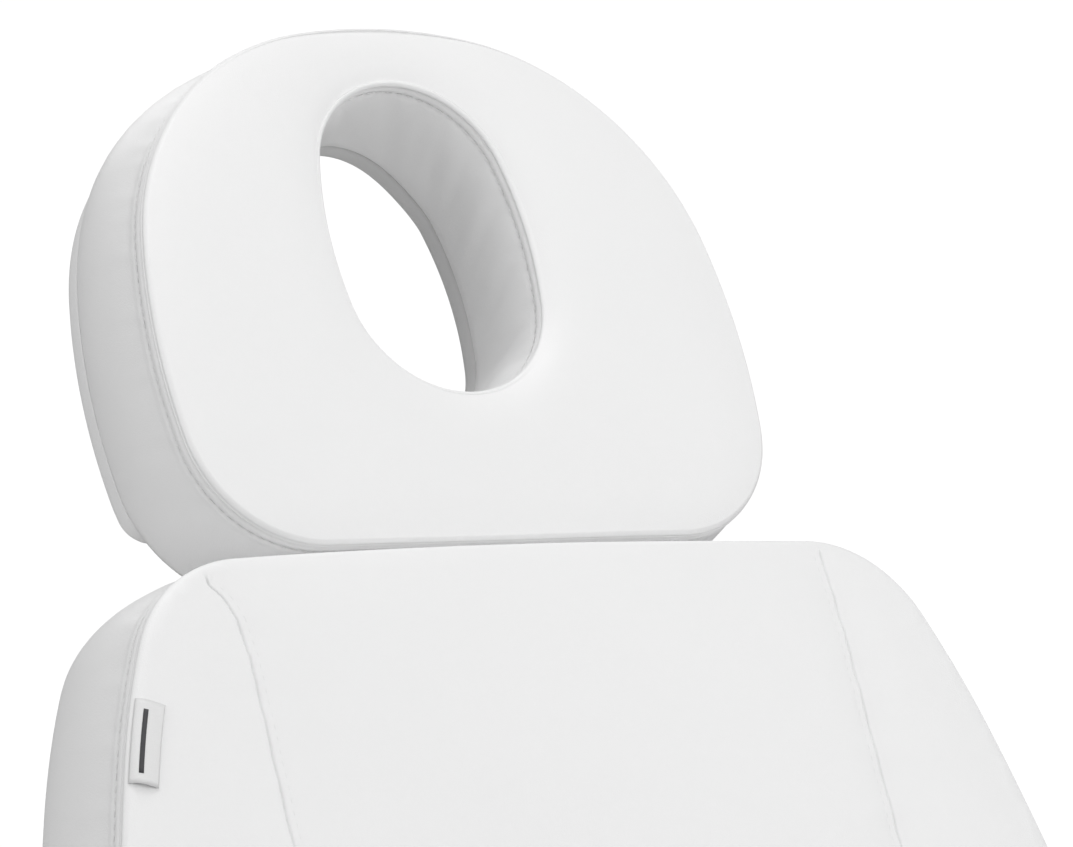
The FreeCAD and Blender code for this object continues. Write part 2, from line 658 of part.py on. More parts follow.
def cap(name, x, y, z, side):
    """A round plastic cap that hides a bolt head."""
    body = doc.addObject("PartDesign::Body", name)
    disc = sketch_in(body, name + "_disc")
    circle(disc, 0, 0, d.cap_r)
    pad(body, disc, d.cap_high, name + "_pad")
    soften(body, d.cap_edge, name + "_edge", at_height(d.cap_high))
    recess = sketch_in(body, name + "_recess")
    circle(recess, 0, 0, d.bolt_head_r + d.cap_slack)
    pocket(body, recess, d.bolt_head + d.cap_slack, name + "_pocket", reverse=True)
    turn = TO_X if side > 0 else Rotation(Y_AXIS, -90)
    return put(body, (x * side, y, z), turn=turn)


def pivots():
    """Shoulder bolts and caps of the backrest and armrest pivots."""
    arm_x = d.cross_half + d.side_plate + d.post_wide + d.arm_gap + d.arm_plate + d.bolt_slack
    bolts = []
    caps = []
    for side in (1, -1):
        back_at = (d.cross_half + d.side_plate, d.back_hinge_y, d.back_hinge_z, side)
        arm_at = (arm_x, d.arm_y, d.arm_z, side)
        bolts += [shoulder_bolt("back_bolt%d" % side, *back_at), shoulder_bolt("arm_bolt%d" % side, *arm_at)]
        caps += [cap("back_cap%d" % side, *back_at), cap("arm_cap%d" % side, *arm_at)]
    node("pivot_bolts", put(group("pivot_bolts", *bolts), (0, 0, 0), WORLD))
    node("pivot_caps", put(group("pivot_caps", *caps), (0, 0, 0), WORLD))


def seat_pad():
    half = d.seat_wide / 2
    inset = d.board_inset
    low = d.inner_high + d.top_thick + d.cross_high + d.side_high
    board = slab("seat_board", rectangle(inset - half, half - inset, d.seat_front + inset,
                                         d.seat_rear - inset), d.board_thick, d.seat_corner - inset, None)
    foam = slab("seat_cushion", rectangle(-half, half, d.seat_front, d.seat_rear), d.seat_foam,
                d.seat_corner, d.foam_edge)
    node("seat_board", put(board, (0, 0, low), WORLD))
    node("seat_cushion", put(foam, (0, 0, low + d.board_thick), WORLD))


# ---------------------------------------------------------------- backrest

def back_outline(inset):
    """Right half of the backrest: crowned top, round shoulder, flaring side, tapering heel."""
    turns = [(d.crown_rad - inset, d.crown_turn), (d.shoulder_rad - inset, d.shoulder_turn),
             (d.flare_rad - inset, d.flare_turn), (d.taper_rad - inset, d.taper_turn)]
    turned = sum(float(degrees) for _, degrees in turns)
    turns.append((d.heel_rad - inset, 180 - turned))
    return arc_chain((0.0, float(d.back_top - inset)), turns)


def back_pad():
    arcs, end = back_outline(Dim(0, "0"))
    print("backrest end", round(end.y, 2), "half width", round(max(p.x for arc in arcs for p in arc), 1))
    inset_arcs, _ = back_outline(d.wrap)
    rear = d.back_board_rear
    front = rear + d.board_thick
    board = shaped_slab("back_board", inset_arcs, rear, front)
    foam = shaped_slab("back_cushion", arcs, front, d.back_face, edge=d.back_edge)
    node("back_board", put(board, (0, 0, 0), BACK))
    node("back_cushion", put(foam, (0, 0, 0), BACK))


def back_frame():
    """Stiles, cross tubes and the actuator's lever, welded together behind the board."""
    deep = d.back_board_rear - d.stile_deep
    length = d.stile_high - d.stile_low
    parts = [tube("back_stile%d" % n, 1, d.stile_wide, length, d.stile_deep, (x, d.stile_low, deep))
             for n, x in enumerate((d.stile_inner, -d.stile_inner - d.stile_wide))]
    for number, s in enumerate((d.back_cross_low, d.back_cross_high)):
        parts.append(tube("back_cross%d" % number, 0, d.stile_inner * 2, d.cross_wide, d.stile_deep,
                          (-d.stile_inner, s, deep)))
    side = d.torque_side
    parts.append(tube("torque_tube", 0, d.arm_inner * 2, side, side,
                      (-d.arm_inner, d.torque_low, deep - side)))
    angle = math.radians(float(d.back_lever_turn))
    y = d.back_lever * math.cos(angle)
    z = d.back_lever * math.sin(angle)
    corners = [(d.torque_low, deep), (d.torque_low, deep - side), (y + 4, z - 14), (y - 6, z + 13)]
    half = d.eye_thick / 2 + d.cheek_gap
    parts += ear_pair("back_lever", corners, y, z, d.back_lever_disc, d.act_pin_r, d.act_x, half, d.cheek)
    node("back_frame", put(group("back_frame", *parts), (0, 0, 0), BACK))
    length = d.eye_thick + d.cheek_gap * 2 + d.cheek * 2
    pin = rod("back_lever_pin", d.act_pin_r, length)
    node("back_lever_pin", put(pin, (d.act_x - length / 2, y, z), BACK, TO_X))


def back_arms():
    """Hinge arms at the ends of the torque tube."""
    near = d.back_board_rear - d.stile_deep
    far = near - d.torque_side
    end = d.torque_low + d.torque_side
    corners = [(-d.arm_toe, -d.arm_toe_deep), (d.torque_low - d.arm_start, far - d.arm_lap),
               (end + d.arm_over, far - d.arm_lap), (end + d.arm_over, near + d.arm_lap),
               (d.torque_low - d.arm_step, near + d.arm_lap), (d.arm_toe, d.arm_toe_deep)]
    arms = []
    for number, x in enumerate((d.arm_inner, -d.arm_inner - d.side_plate)):
        made = plate("back_arm%d" % number, corners, d.side_plate, [(0, 0, d.arm_eye)],
                     [(0, 0, d.hinge_r + d.slip)])
        arms.append(put(made, (x, 0, 0)))
    node("back_arms", put(group("back_arms", *arms), (0, 0, 0), BACK))


def sockets():
    """Square sockets with plastic bushes for the headrest's yoke."""
    side = d.socket_side
    length = d.socket_high - d.socket_low
    axis_n = d.yoke_n
    blocks = []
    bushes = []
    for number, x in enumerate((d.yoke_x, -d.yoke_x)):
        block = box("socket_block%d" % number, side, length, side,
                    at=(x - side / 2, d.socket_low, axis_n - side / 2))
        start = d.socket_low - d.overshoot
        through = length + d.overshoot * 2
        seat = rod("socket_seat%d" % number, d.bush_r, through, at=(x, start, axis_n), turn=TO_Y)
        sleeve = rod("bush_sleeve%d" % number, d.bush_r, length, at=(x, d.socket_low, axis_n), turn=TO_Y)
        bore = rod("bush_bore%d" % number, d.yoke_r + d.slip, through, at=(x, start, axis_n), turn=TO_Y)
        block_tools = [seat]
        bush_tools = [bore]
        if number == 0:
            for tools, name in ((block_tools, "socket_thread"), (bush_tools, "bush_slot")):
                tools.append(rod(name, d.knob_stud_r + d.stud_gap, side, at=(x, d.knob_s, axis_n - side)))
        blocks.append(cut("socket%d" % number, block, *block_tools))
        bushes.append(cut("bush%d" % number, sleeve, *bush_tools))
    node("headrest_sockets", put(group("headrest_sockets", *blocks), (0, 0, 0), BACK))
    node("socket_bushes", put(group("socket_bushes", *bushes), (0, 0, 0), BACK))


def lock_knob():
    """A fluted hand knob whose stud clamps the yoke in its left-hand socket."""
    body = doc.addObject("PartDesign::Body", "lock_knob")
    disc = sketch_in(body, "knob_disc")
    circle(disc, 0, 0, d.knob_r)
    pad(body, disc, d.knob_high, "knob_pad")
    flute = sketch_in(body, "knob_flute")
    circle(flute, d.flute_out, 0, d.flute_r)
    first = pocket_through(body, flute, "knob_flute_cut")
    around = body.newObject("PartDesign::PolarPattern", "knob_flutes")
    around.Originals = [first]
    around.Axis = (flute, ["N_Axis"])
    around.Angle = 360
    around.Occurrences = int(float(d.flute_count))
    body.Tip = around
    doc.recompute()
    soften(body, d.knob_edge, "knob_edge", at_height(d.knob_high))
    stud = sketch_in(body, "knob_stud")
    circle(stud, 0, 0, d.knob_stud_r)
    reach = d.knob_gap + d.socket_side / 2 - d.yoke_r - d.stud_gap
    pad(body, stud, reach, "knob_stud_pad", reverse=True)
    deep = d.yoke_n - d.socket_side / 2 - d.knob_gap
    node("lock_knob", put(body, (d.yoke_x, d.knob_s, deep), BACK, Rotation(X_AXIS, 180)))


def sewn_tab():
    """A small fabric tab sewn into the front edge on the sitter's right, lying on the front face."""
    arcs, _ = back_outline(Dim(0, "0"))
    top, bottom = arcs[2][0], arcs[2][1]
    share = (float(d.tab_s) - top.y) / (bottom.y - top.y)
    edge_x = top.x + (bottom.x - top.x) * share
    lean = math.degrees(math.atan2(bottom.x - top.x, top.y - bottom.y))
    made = box("label_tab", d.tab_wide, d.tab_long, d.tab_thick)
    corner = (d.tab_inset - edge_x, d.tab_s - d.tab_long / 2, d.back_face + d.tab_gap)
    node("label_tab", put(made, corner, BACK, Rotation(Z_AXIS, -lean)))


# ---------------------------------------------------------------- headrest

def head_yoke():
    """One bent bar: two legs in the sockets and a level top that the pad tilts about."""
    bend = d.yoke_bend
    high = d.yoke_high
    x = d.yoke_x
    n = d.yoke_n
    leg = high - bend - d.yoke_low
    parts = [rod("yoke_leg%d" % count, d.yoke_r, leg, at=(side, d.yoke_low, n), turn=TO_Y)
             for count, side in enumerate((x, -x))]
    parts.append(rod("yoke_top", d.yoke_r, (x - bend) * 2, at=(bend - x, high, n), turn=TO_X))
    for count, side in enumerate((1, -1)):
        corner = doc.addObject("Part::Torus", "yoke_bend%d" % count)
        bind(corner, Radius1=bend, Radius2=d.yoke_r)
        corner.Angle3 = 90
        parts.append(put(corner, ((x - bend) * side, high - bend, n), turn=Rotation(Z_AXIS, 90 * count)))
    node("headrest_yoke", put(fuse("headrest_yoke", *parts), (0, 0, 0), BACK))


def head_hinge():
    """Where the yoke's level top lies in the headrest's own frame."""
    at_back = BACK.multVec(point(0, d.yoke_high, d.yoke_n))
    return HEAD.inverse().multVec(at_back)


def head_bracket():
    """A plate on the headrest's board with two ears that grip the yoke."""
    rear = -d.head_foam - d.head_board
    thick = d.mount_thick
    base = box("mount_plate", d.mount_half * 2, d.mount_high - d.mount_low, thick,
               at=(-d.mount_half, d.mount_low, rear - thick))
    axis = head_hinge()
    foot = rear - thick + d.lap
    corners = [(axis.y - d.ear_r, foot), (axis.y + d.ear_r, foot), (axis.y + d.ear_neck, axis.z),
               (axis.y - d.ear_neck, axis.z)]
    ears = []
    for number, x in enumerate((d.ear_inner, -d.ear_inner - d.ear_thick)):
        ear = plate("head_ear%d" % number, corners, d.ear_thick, [(axis.y, axis.z, d.ear_r)],
                    [(axis.y, axis.z, d.yoke_r + d.slip)])
        ears.append(put(ear, (x, 0, 0)))
    node("headrest_bracket", put(fuse("headrest_bracket", base, *ears), (0, 0, 0), HEAD))


def head_outline(inset):
    """Right half of the headrest, a rounded D, with its lowest line at zero."""
    turns = [(d.head_top_rad - inset, d.head_top_turn), (d.head_shoulder_rad - inset, d.head_shoulder_turn),
             (d.head_side_rad - inset, d.head_side_turn)]
    turned = sum(float(degrees) for _, degrees in turns)
    turns.append((d.head_corner_rad - inset, 180 - turned))
    _, end = arc_chain((0.0, 0.0), turns)
    return arc_chain((0.0, float(inset) - end.y), turns)


def face_hole():
    """Right half of the oval face hole."""
    turns = [(d.hole_top_rad, d.hole_end_turn), (d.hole_side_rad, d.hole_side_turn)]
    turned = sum(float(degrees) for _, degrees in turns)
    turns.append((d.hole_end_rad, 180 - turned))
    _, end = arc_chain((0.0, 0.0), turns)
    arcs, end = arc_chain((0.0, float(d.hole_low) - end.y), turns)
    end.x = 0.0
    return arcs


def headrest():
    arcs, end = head_outline(Dim(0, "0"))
    print("headrest top", round(arcs[0][0].y, 2), "half width", round(max(p.x for a in arcs for p in a), 1))
    inset_arcs, _ = head_outline(d.wrap)
    rear = -d.head_foam - d.head_board
    board = shaped_slab("headrest_board", inset_arcs, rear, -d.head_foam, hole=face_hole())
    foam = shaped_slab("headrest_cushion", arcs, -d.head_foam, d.head_crown, hole=face_hole(),
                       edge=d.head_edge, rim=d.head_rim)
    node("headrest_board", put(board, (0, 0, 0), HEAD))
    node("headrest_cushion", put(foam, (0, 0, 0), HEAD))


# ---------------------------------------------------------------- leg rest

def leg_rest():
    half = d.leg_wide / 2
    inset = d.board_inset
    board = slab("leg_board", rectangle(inset - half, half - inset, inset - d.leg_far, -d.leg_near - inset),
                 d.board_thick, d.leg_corner - inset, None)
    foam = slab("leg_cushion", rectangle(-half, half, -d.leg_far, -d.leg_near), d.seat_foam,
                d.leg_corner, d.foam_edge)
    node("leg_board", put(board, (0, 0, d.stile_deep), LEG))
    node("leg_cushion", put(foam, (0, 0, d.stile_deep + d.board_thick), LEG))


def leg_frame():
    deep = d.stile_deep
    length = d.leg_stile_far - d.leg_stile_near
    parts = []
    for number, x in enumerate((d.side_inner, -d.side_inner - d.side_wide)):
        parts.append(tube("leg_stile%d" % number, 1, d.side_wide, length, deep, (x, -d.leg_stile_far, 0)))
    for number, s in enumerate((d.leg_bar_near, d.leg_bar_far)):
        parts.append(tube("leg_cross%d" % number, 0, d.side_inner * 2, d.leg_bar, deep,
                          (-d.side_inner, -s - d.leg_bar, 0)))
    middle = d.side_inner + d.side_wide / 2
    corners = [(-d.leg_stile_near, 0), (0, -d.leg_disc), (0, d.leg_disc), (-d.leg_stile_near, deep)]
    for number, side in enumerate((1, -1)):
        ear = plate("leg_ear%d" % number, corners, d.clevis_cheek, [(0, 0, d.leg_disc)],
                    [(0, 0, d.leg_pin_r + d.slip)])
        parts.append(put(ear, (middle * side - d.clevis_cheek / 2, 0, 0)))
    angle = math.radians(float(d.leg_lever_turn))
    y = -d.leg_lever * math.cos(angle)
    z = d.leg_lever * math.sin(angle)
    near = -d.leg_bar_near
    corners = [(near - d.leg_bar, 0), (near - d.leg_bar, -14), (y - 4, z - 12), (y + 9, z + 9), (near, 0)]
    half = d.eye_thick / 2 + d.cheek_gap
    parts += ear_pair("leg_lever", corners, y, z, d.leg_lever_disc, d.act_pin_r, -d.act_x, half, d.cheek)
    node("leg_frame", put(group("leg_frame", *parts), (0, 0, 0), LEG))
    length = d.eye_thick + d.cheek_gap * 2 + d.cheek * 2
    pin = rod("leg_lever_pin", d.act_pin_r, length)
    node("leg_lever_pin", put(pin, (-d.act_x - length / 2, y, z), LEG, TO_X))


# ---------------------------------------------------------------- actuators

def actuator(name, frame, reach, tube_end, rod_len, eye_hole):
    """A gear housing with a guide tube, and a rod that ends in an eye; its own +Y is its axis."""
    thick = d.eye_thick
    foot = plate(name + "_foot", rectangle(0, d.gear_start, -d.foot_neck, d.foot_neck), thick,
                 [(0, 0, d.foot_disc)], [(0, 0, d.act_pin_r + d.slip)])
    put(foot, (-thick / 2, 0, 0))
    gear_end = d.gear_start + d.gear_len
    housing = box(name + "_gear", d.gear_wide, d.gear_len, d.gear_up + d.gear_down,
                  at=(-d.gear_wide / 2, d.gear_start, -d.gear_down))
    guide = rod(name + "_guide", d.act_tube_r, tube_end - gear_end, at=(0, gear_end, 0), turn=TO_Y)
    bore = d.act_rod_r + d.slip
    bores = [rod("%s_bore%d" % (name, n), bore, tube_end, at=(0, d.bore_start, 0), turn=TO_Y)
             for n in range(2)]
    made = group(name + "_body", foot, cut(name + "_housing", housing, bores[0]),
                 cut(name + "_sleeve", guide, bores[1]))
    node(name + "_body", put(made, (0, 0, 0), frame))
    eye_r = eye_hole + d.eye_wall
    shaft_len = rod_len - eye_hole - d.lap
    shaft = rod(name + "_shaft", d.act_rod_r, shaft_len, at=(0, reach - rod_len, 0), turn=TO_Y)
    ring = rod(name + "_ring", eye_r, thick, at=(-thick / 2, reach, 0), turn=TO_X)
    hole = rod(name + "_eye", eye_hole, thick * 2, at=(-thick, reach, 0), turn=TO_X)
    made = cut(name + "_rod", fuse(name + "_rod_solid", shaft, ring), hole)
    node(name + "_rod", put(made, (0, 0, 0), frame))


def actuators():
    back_foot = WORLD.multiply(Placement(point(d.act_x, d.back_hinge_y + d.back_foot_y,
                                               d.back_hinge_z + d.back_foot_z),
                                         Rotation(X_AXIS, float(d.back_rise))))
    actuator("back_actuator", back_foot, d.back_reach, d.back_tube_end, d.back_rod, d.back_eye_hole)
    facing_front = Rotation(Z_AXIS, 180).multiply(Rotation(X_AXIS, float(d.leg_rise)))
    leg_foot = WORLD.multiply(Placement(point(-d.act_x, d.leg_hinge_y + d.leg_foot_y,
                                              d.leg_hinge_z + d.leg_foot_z), facing_front))
    actuator("leg_actuator", leg_foot, d.leg_reach, d.leg_tube_end, d.leg_rod, d.leg_eye_hole)


# ---------------------------------------------------------------- armrests

def armrests():
    """Posts on the side plates, and on each a bracket with a pad that folds up."""
    post_x = d.cross_half + d.side_plate
    low = d.inner_high + d.top_thick
    posts = []
    for side, name in ((1, "left"), (-1, "right")):
        corner = post_x if side > 0 else -post_x - d.post_wide
        post = tube("post_" + name, 2, d.post_wide, d.post_deep, d.post_high,
                    (corner, d.arm_y - d.post_deep / 2, low))
        bolt = rod("post_hole_" + name, d.hinge_r, d.post_wide,
                   at=((post_x + d.post_wide / 2) * side, d.arm_y, d.arm_z),
                   turn=TO_X if side > 0 else Rotation(Y_AXIS, -90))
        posts.append(cut("arm_post_" + name, post, bolt))
        inner = post_x + d.post_wide + d.arm_gap
        arm_bracket(side, name, inner)
        half = d.rest_wide / 2
        rest = slab("arm_pad_" + name, rectangle(-half, half, d.rest_front, d.rest_rear), d.rest_high,
                    d.rest_corner, d.rest_edge)
        centre = inner + d.rest_gap + d.rest_wide / 2
        node("arm_pad_" + name, put(rest, (centre * side, 0, d.shelf_low + d.shelf_thick), WORLD))
    node("arm_posts", put(group("arm_posts", *posts), (0, 0, 0), WORLD))


def arm_bracket(side, name, inner):
    """A plate on the pivot bolt with a shelf for the pad."""
    y = d.arm_y
    z = d.arm_z
    top = d.shelf_low + d.shelf_thick
    corners = [(y - d.web_half, z), (y + d.web_half, z), (d.arm_rear, top), (d.arm_front, top),
               (d.arm_front, top - d.web_tip)]
    start = inner if side > 0 else -inner - d.arm_plate
    web = plate("arm_web_" + name, corners, d.arm_plate, [(y, z, d.web_disc)], [(y, z, d.hinge_r + d.slip)])
    put(web, (start, 0, 0))
    corner = inner if side > 0 else -inner - d.shelf_wide
    shelf = box("arm_shelf_" + name, d.shelf_wide, d.arm_rear - d.arm_front, d.shelf_thick,
                at=(corner, d.arm_front, d.shelf_low))
    node("arm_bracket_" + name, put(fuse("arm_bracket_" + name, web, shelf), (0, 0, 0), WORLD))


# ---------------------------------------------------------------- handset

def handset_holder():
    """An open cup on the end of the front cross tube."""
    wall = d.cup_wall
    depth = d.cup_deep + wall
    cup = box("holder_cup", depth, d.cup_wide, d.cup_high)
    hollow = box("holder_hollow", d.phone_deep + d.phone_gap * 2, d.phone_wide + d.phone_gap * 2,
                 d.cup_high, at=(wall + d.cup_lip, (d.cup_wide - d.phone_wide) / 2 - d.phone_gap, wall))
    tongue = box("holder_tongue", wall, d.cup_wide, d.cup_high + d.tongue_rise)
    made = cut("handset_holder", fuse("holder_solid", cup, tongue), hollow)
    node("handset_holder", put(made, (d.cross_half, d.cup_y - d.cup_wide / 2, d.cup_low), WORLD))


def handset():
    """A slim hand control with six push keys."""
    deep = d.phone_deep
    wide = d.phone_wide
    start = (d.cross_half + d.cup_wall + d.cup_lip + d.phone_gap, d.cup_y - wide / 2, d.cup_low + d.cup_wall)
    shell = doc.addObject("PartDesign::Body", "handset_shell")
    outline = sketch_in(shell, "handset_outline", "YZ_Plane")
    polygon(outline, rectangle(0, wide, 0, d.phone_high))
    pad(shell, outline, deep, "handset_pad")
    soften(shell, d.phone_edge, "handset_edges", lambda edge: edge.BoundBox.XLength > float(deep) - 0.1)
    wells = sketch_in(shell, "handset_wells", "YZ_Plane", height=deep)
    places = [(wide / 2 + d.key_step_y * column, d.key_low + d.key_step_z * row)
              for row in range(3) for column in (-0.5, 0.5)]
    for y, z in places:
        circle(wells, y, z, d.key_r + d.key_gap)
    pocket(shell, wells, d.key_high, "handset_pockets")
    node("handset_shell", put(shell, start, WORLD))
    actions = ("back_down", "back_up", "leg_down", "leg_up", "seat_down", "seat_up")
    for action, (y, z) in zip(actions, places):
        key = rod("key_" + action, d.key_r, d.key_high)
        place = (start[0] + deep + d.key_proud - d.key_high, start[1] + y, start[2] + z)
        node("key_" + action, put(key, place, WORLD, TO_X))


# ---------------------------------------------------------------- assembly

def check_all():
    """Stop on any failed object or broken shape."""
    doc.recompute()
    for thing in doc.Objects:
        if "Invalid" in thing.State or "Error" in thing.State:
            raise RuntimeError("%s: %s" % (thing.Label, thing.State))
    for thing in nodes:
        if thing.Shape.isNull() or not thing.Shape.isValid():
            raise RuntimeError(thing.Label + " has no valid shape")


def write_all():
    os.makedirs("parts", exist_ok=True)
    whole = FreeCAD.BoundBox()
    for thing in nodes:
        thing.Shape.exportStep("parts/%s.step" % thing.Label)
        whole.add(thing.Shape.BoundBox)
    print(len(nodes), "nodes", whole)


base_frame()
column_plate()
base_cover()
feet()
column()
lift_drive()
mains_inlet()
control_box()
seat_frame()
top_plate()
frame_pins()
side_plates()
pivots()
seat_pad()
back_pad()
back_frame()
back_arms()
sockets()
lock_knob()
sewn_tab()
head_yoke()
head_bracket()
headrest()
leg_rest()
leg_frame()
actuators()
armrests()
handset_holder()
handset()
check_all()
write_all()
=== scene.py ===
"""Looks of a treatment chair: upholstery with its seams and stitches, finishes, light and camera."""
import bmesh
import bpy
import json
import math
import numpy as np
from mathutils import Matrix, Vector
from mathutils.geometry import delaunay_2d_cdt


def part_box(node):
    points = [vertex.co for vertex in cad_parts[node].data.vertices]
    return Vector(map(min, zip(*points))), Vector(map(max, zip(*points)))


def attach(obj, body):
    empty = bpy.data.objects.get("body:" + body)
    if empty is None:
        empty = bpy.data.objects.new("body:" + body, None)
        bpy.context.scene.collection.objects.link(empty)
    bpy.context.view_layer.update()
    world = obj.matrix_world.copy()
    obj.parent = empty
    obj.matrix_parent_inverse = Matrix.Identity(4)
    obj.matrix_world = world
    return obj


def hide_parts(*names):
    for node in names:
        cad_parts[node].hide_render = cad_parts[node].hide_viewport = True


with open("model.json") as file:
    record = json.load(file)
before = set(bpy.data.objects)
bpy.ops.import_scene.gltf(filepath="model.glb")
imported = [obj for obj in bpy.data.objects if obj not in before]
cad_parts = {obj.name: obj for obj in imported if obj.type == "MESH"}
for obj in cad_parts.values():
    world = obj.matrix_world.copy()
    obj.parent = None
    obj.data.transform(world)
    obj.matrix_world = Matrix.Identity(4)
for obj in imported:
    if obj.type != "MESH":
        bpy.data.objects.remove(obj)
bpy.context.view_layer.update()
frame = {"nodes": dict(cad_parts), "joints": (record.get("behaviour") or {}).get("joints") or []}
MM = 0.001
JOINTS = {joint["name"]: joint for joint in frame["joints"]}

# Places along the backrest, measured up it from its hinge and out towards the sitter.
HEAD_UP = 738 * MM
HEAD_OUT = 18 * MM
HEAD_ANGLE = 64.4
BACK_ANGLE = -JOINTS["back_recline"]["range_deg"][0]


def turned(origin, degrees):
    return Matrix.Translation(origin) @ Matrix.Rotation(math.radians(degrees), 4, "X")


BACK = turned(JOINTS["back_recline"]["pos_m"], BACK_ANGLE)
HEAD = BACK @ turned((0, HEAD_UP, HEAD_OUT), HEAD_ANGLE - BACK_ANGLE)
LEG_DROP = 45
LEG = turned(JOINTS["leg_tilt"]["pos_m"], LEG_DROP)


# ---------------------------------------------------------------- materials

class Nodes:
    """Short calls for making a node tree."""

    def __init__(self, name):
        self.material = bpy.data.materials.new(name)
        self.material.use_nodes = True
        self.tree = self.material.node_tree
        self.shader = self.tree.nodes["Principled BSDF"]
        self.place = self.make("ShaderNodeTexCoord").outputs["Object"]

    def make(self, kind, **values):
        made = self.tree.nodes.new(kind)
        for key, value in values.items():
            if key in made.inputs:
                made.inputs[key].default_value = value
            else:
                setattr(made, key, value)
        return made

    def join(self, start, end):
        self.tree.links.new(start, end)

    def noise(self, scale, detail=3.0, stretch=None):
        made = self.make("ShaderNodeTexNoise", Scale=scale, Detail=detail)
        place = self.place
        if stretch:
            scaled = self.make("ShaderNodeMapping")
            scaled.inputs["Scale"].default_value = stretch
            self.join(place, scaled.inputs["Vector"])
            place = scaled.outputs["Vector"]
        self.join(place, made.inputs["Vector"])
        return made.outputs["Fac"]

    def cells(self, scale):
        made = self.make("ShaderNodeTexVoronoi", Scale=scale)
        self.join(self.place, made.inputs["Vector"])
        return made.outputs["Distance"]

    def between(self, fac, low, high):
        made = self.make("ShaderNodeMapRange")
        made.inputs["To Min"].default_value = low
        made.inputs["To Max"].default_value = high
        self.join(fac, made.inputs["Value"])
        return made.outputs["Result"]

    def blend(self, fac, first, second):
        made = self.make("ShaderNodeMix", data_type="RGBA")
        for socket in made.inputs:
            if socket.type == "RGBA":
                socket.default_value = (*(first if socket.name == "A" else second), 1)
        self.join(fac, made.inputs["Factor"])
        return made.outputs[2]

    def bump(self, height, depth, under=None):
        made = self.make("ShaderNodeBump", Distance=depth, Strength=1.0)
        self.join(height, made.inputs["Height"])
        if under is not None:
            self.join(under, made.inputs["Normal"])
        return made.outputs["Normal"]

    def finish(self, colour, roughness, normal, **constants):
        self.join(colour, self.shader.inputs["Base Color"])
        self.join(roughness, self.shader.inputs["Roughness"])
        self.join(normal, self.shader.inputs["Normal"])
        for key, value in constants.items():
            self.shader.inputs[key.replace("_", " ")].default_value = value
        return self.material


def shaded(colour, factor):
    return tuple(min(1.0, channel * factor) for channel in colour)


def vinyl(name, colour, rough=0.4):
    """Upholstery vinyl: pebbled grain, faint creasing, a slow drift of tone and gloss."""
    n = Nodes(name)
    drift = n.noise(9, 2)
    grain = n.cells(1150)
    pores = n.noise(2600, 2)
    crease = n.noise(60, 4)
    tone = n.blend(n.between(drift, 0, 1), shaded(colour, 0.985), shaded(colour, 1.01))
    rough_out = n.between(n.noise(45, 3), rough - 0.04, rough + 0.06)
    normal = n.bump(crease, 0.00022)
    normal = n.bump(grain, 0.00006, normal)
    normal = n.bump(pores, 0.00003, normal)
    return n.finish(tone, rough_out, normal, Specular_IOR_Level=0.42, Coat_Weight=0.06, Coat_Roughness=0.3)


def thread(name, colour):
    n = Nodes(name)
    twist = n.noise(3200, 2)
    tone = n.blend(twist, shaded(colour, 0.92), shaded(colour, 1.04))
    return n.finish(tone, n.between(twist, 0.5, 0.7), n.bump(twist, 0.00002), Sheen_Weight=0.2)


def painted(name, colour, rough=0.42, texture=0.00008):
    """Powder coat: fine orange peel, dust-like tone change and slightly polished patches."""
    n = Nodes(name)
    peel = n.noise(700, 2)
    wear = n.noise(18, 5)
    tone = n.blend(wear, shaded(colour, 0.96), shaded(colour, 1.02))
    return n.finish(tone, n.between(wear, rough - 0.07, rough + 0.1), n.bump(peel, texture),
                    Specular_IOR_Level=0.5)


def moulded(name, colour, rough=0.5, texture=0.00007):
    """Moulded plastic: spark-eroded texture over a slow sink-mark waviness."""
    n = Nodes(name)
    spark = n.cells(1500)
    sink = n.noise(14, 2)
    tone = n.blend(n.noise(30, 4), shaded(colour, 0.95), shaded(colour, 1.04))
    normal = n.bump(spark, texture, n.bump(sink, 0.0002))
    return n.finish(tone, n.between(n.noise(120, 3), rough - 0.06, rough + 0.08), normal)


def metal(name, colour, rough, stretch=(1, 1, 1), depth=0.00002):
    """Bright metal: fine drawn or brushed lines with tarnished patches."""
    n = Nodes(name)
    lines = n.noise(900, 3, stretch)
    patch = n.noise(25, 4)
    tone = n.blend(patch, shaded(colour, 0.9), shaded(colour, 1.05))
    return n.finish(tone, n.between(patch, rough * 0.7, rough * 1.5), n.bump(lines, depth), Metallic=1.0)


def plywood(name, colour):
    """Birch plywood: long grain and fine fibres along Y."""
    n = Nodes(name)
    grain = n.noise(40, 6, (1, 0.06, 1))
    fibre = n.noise(500, 4, (1, 0.05, 1))
    tone = n.blend(grain, shaded(colour, 0.72), shaded(colour, 1.12))
    return n.finish(tone, n.between(fibre, 0.55, 0.75), n.bump(fibre, 0.00012))


def woven(name, colour):
    """Satin tape: crossed ribs about 0.4 mm apart."""
    n = Nodes(name)
    ribs = n.noise(2400, 1, (1, 0.15, 1))
    cross = n.noise(2400, 1, (0.15, 1, 0.15))
    tone = n.blend(ribs, shaded(colour, 0.94), shaded(colour, 1.02))
    return n.finish(tone, n.between(cross, 0.4, 0.55), n.bump(ribs, 0.0001, n.bump(cross, 0.0001)),
                    Sheen_Weight=0.3)


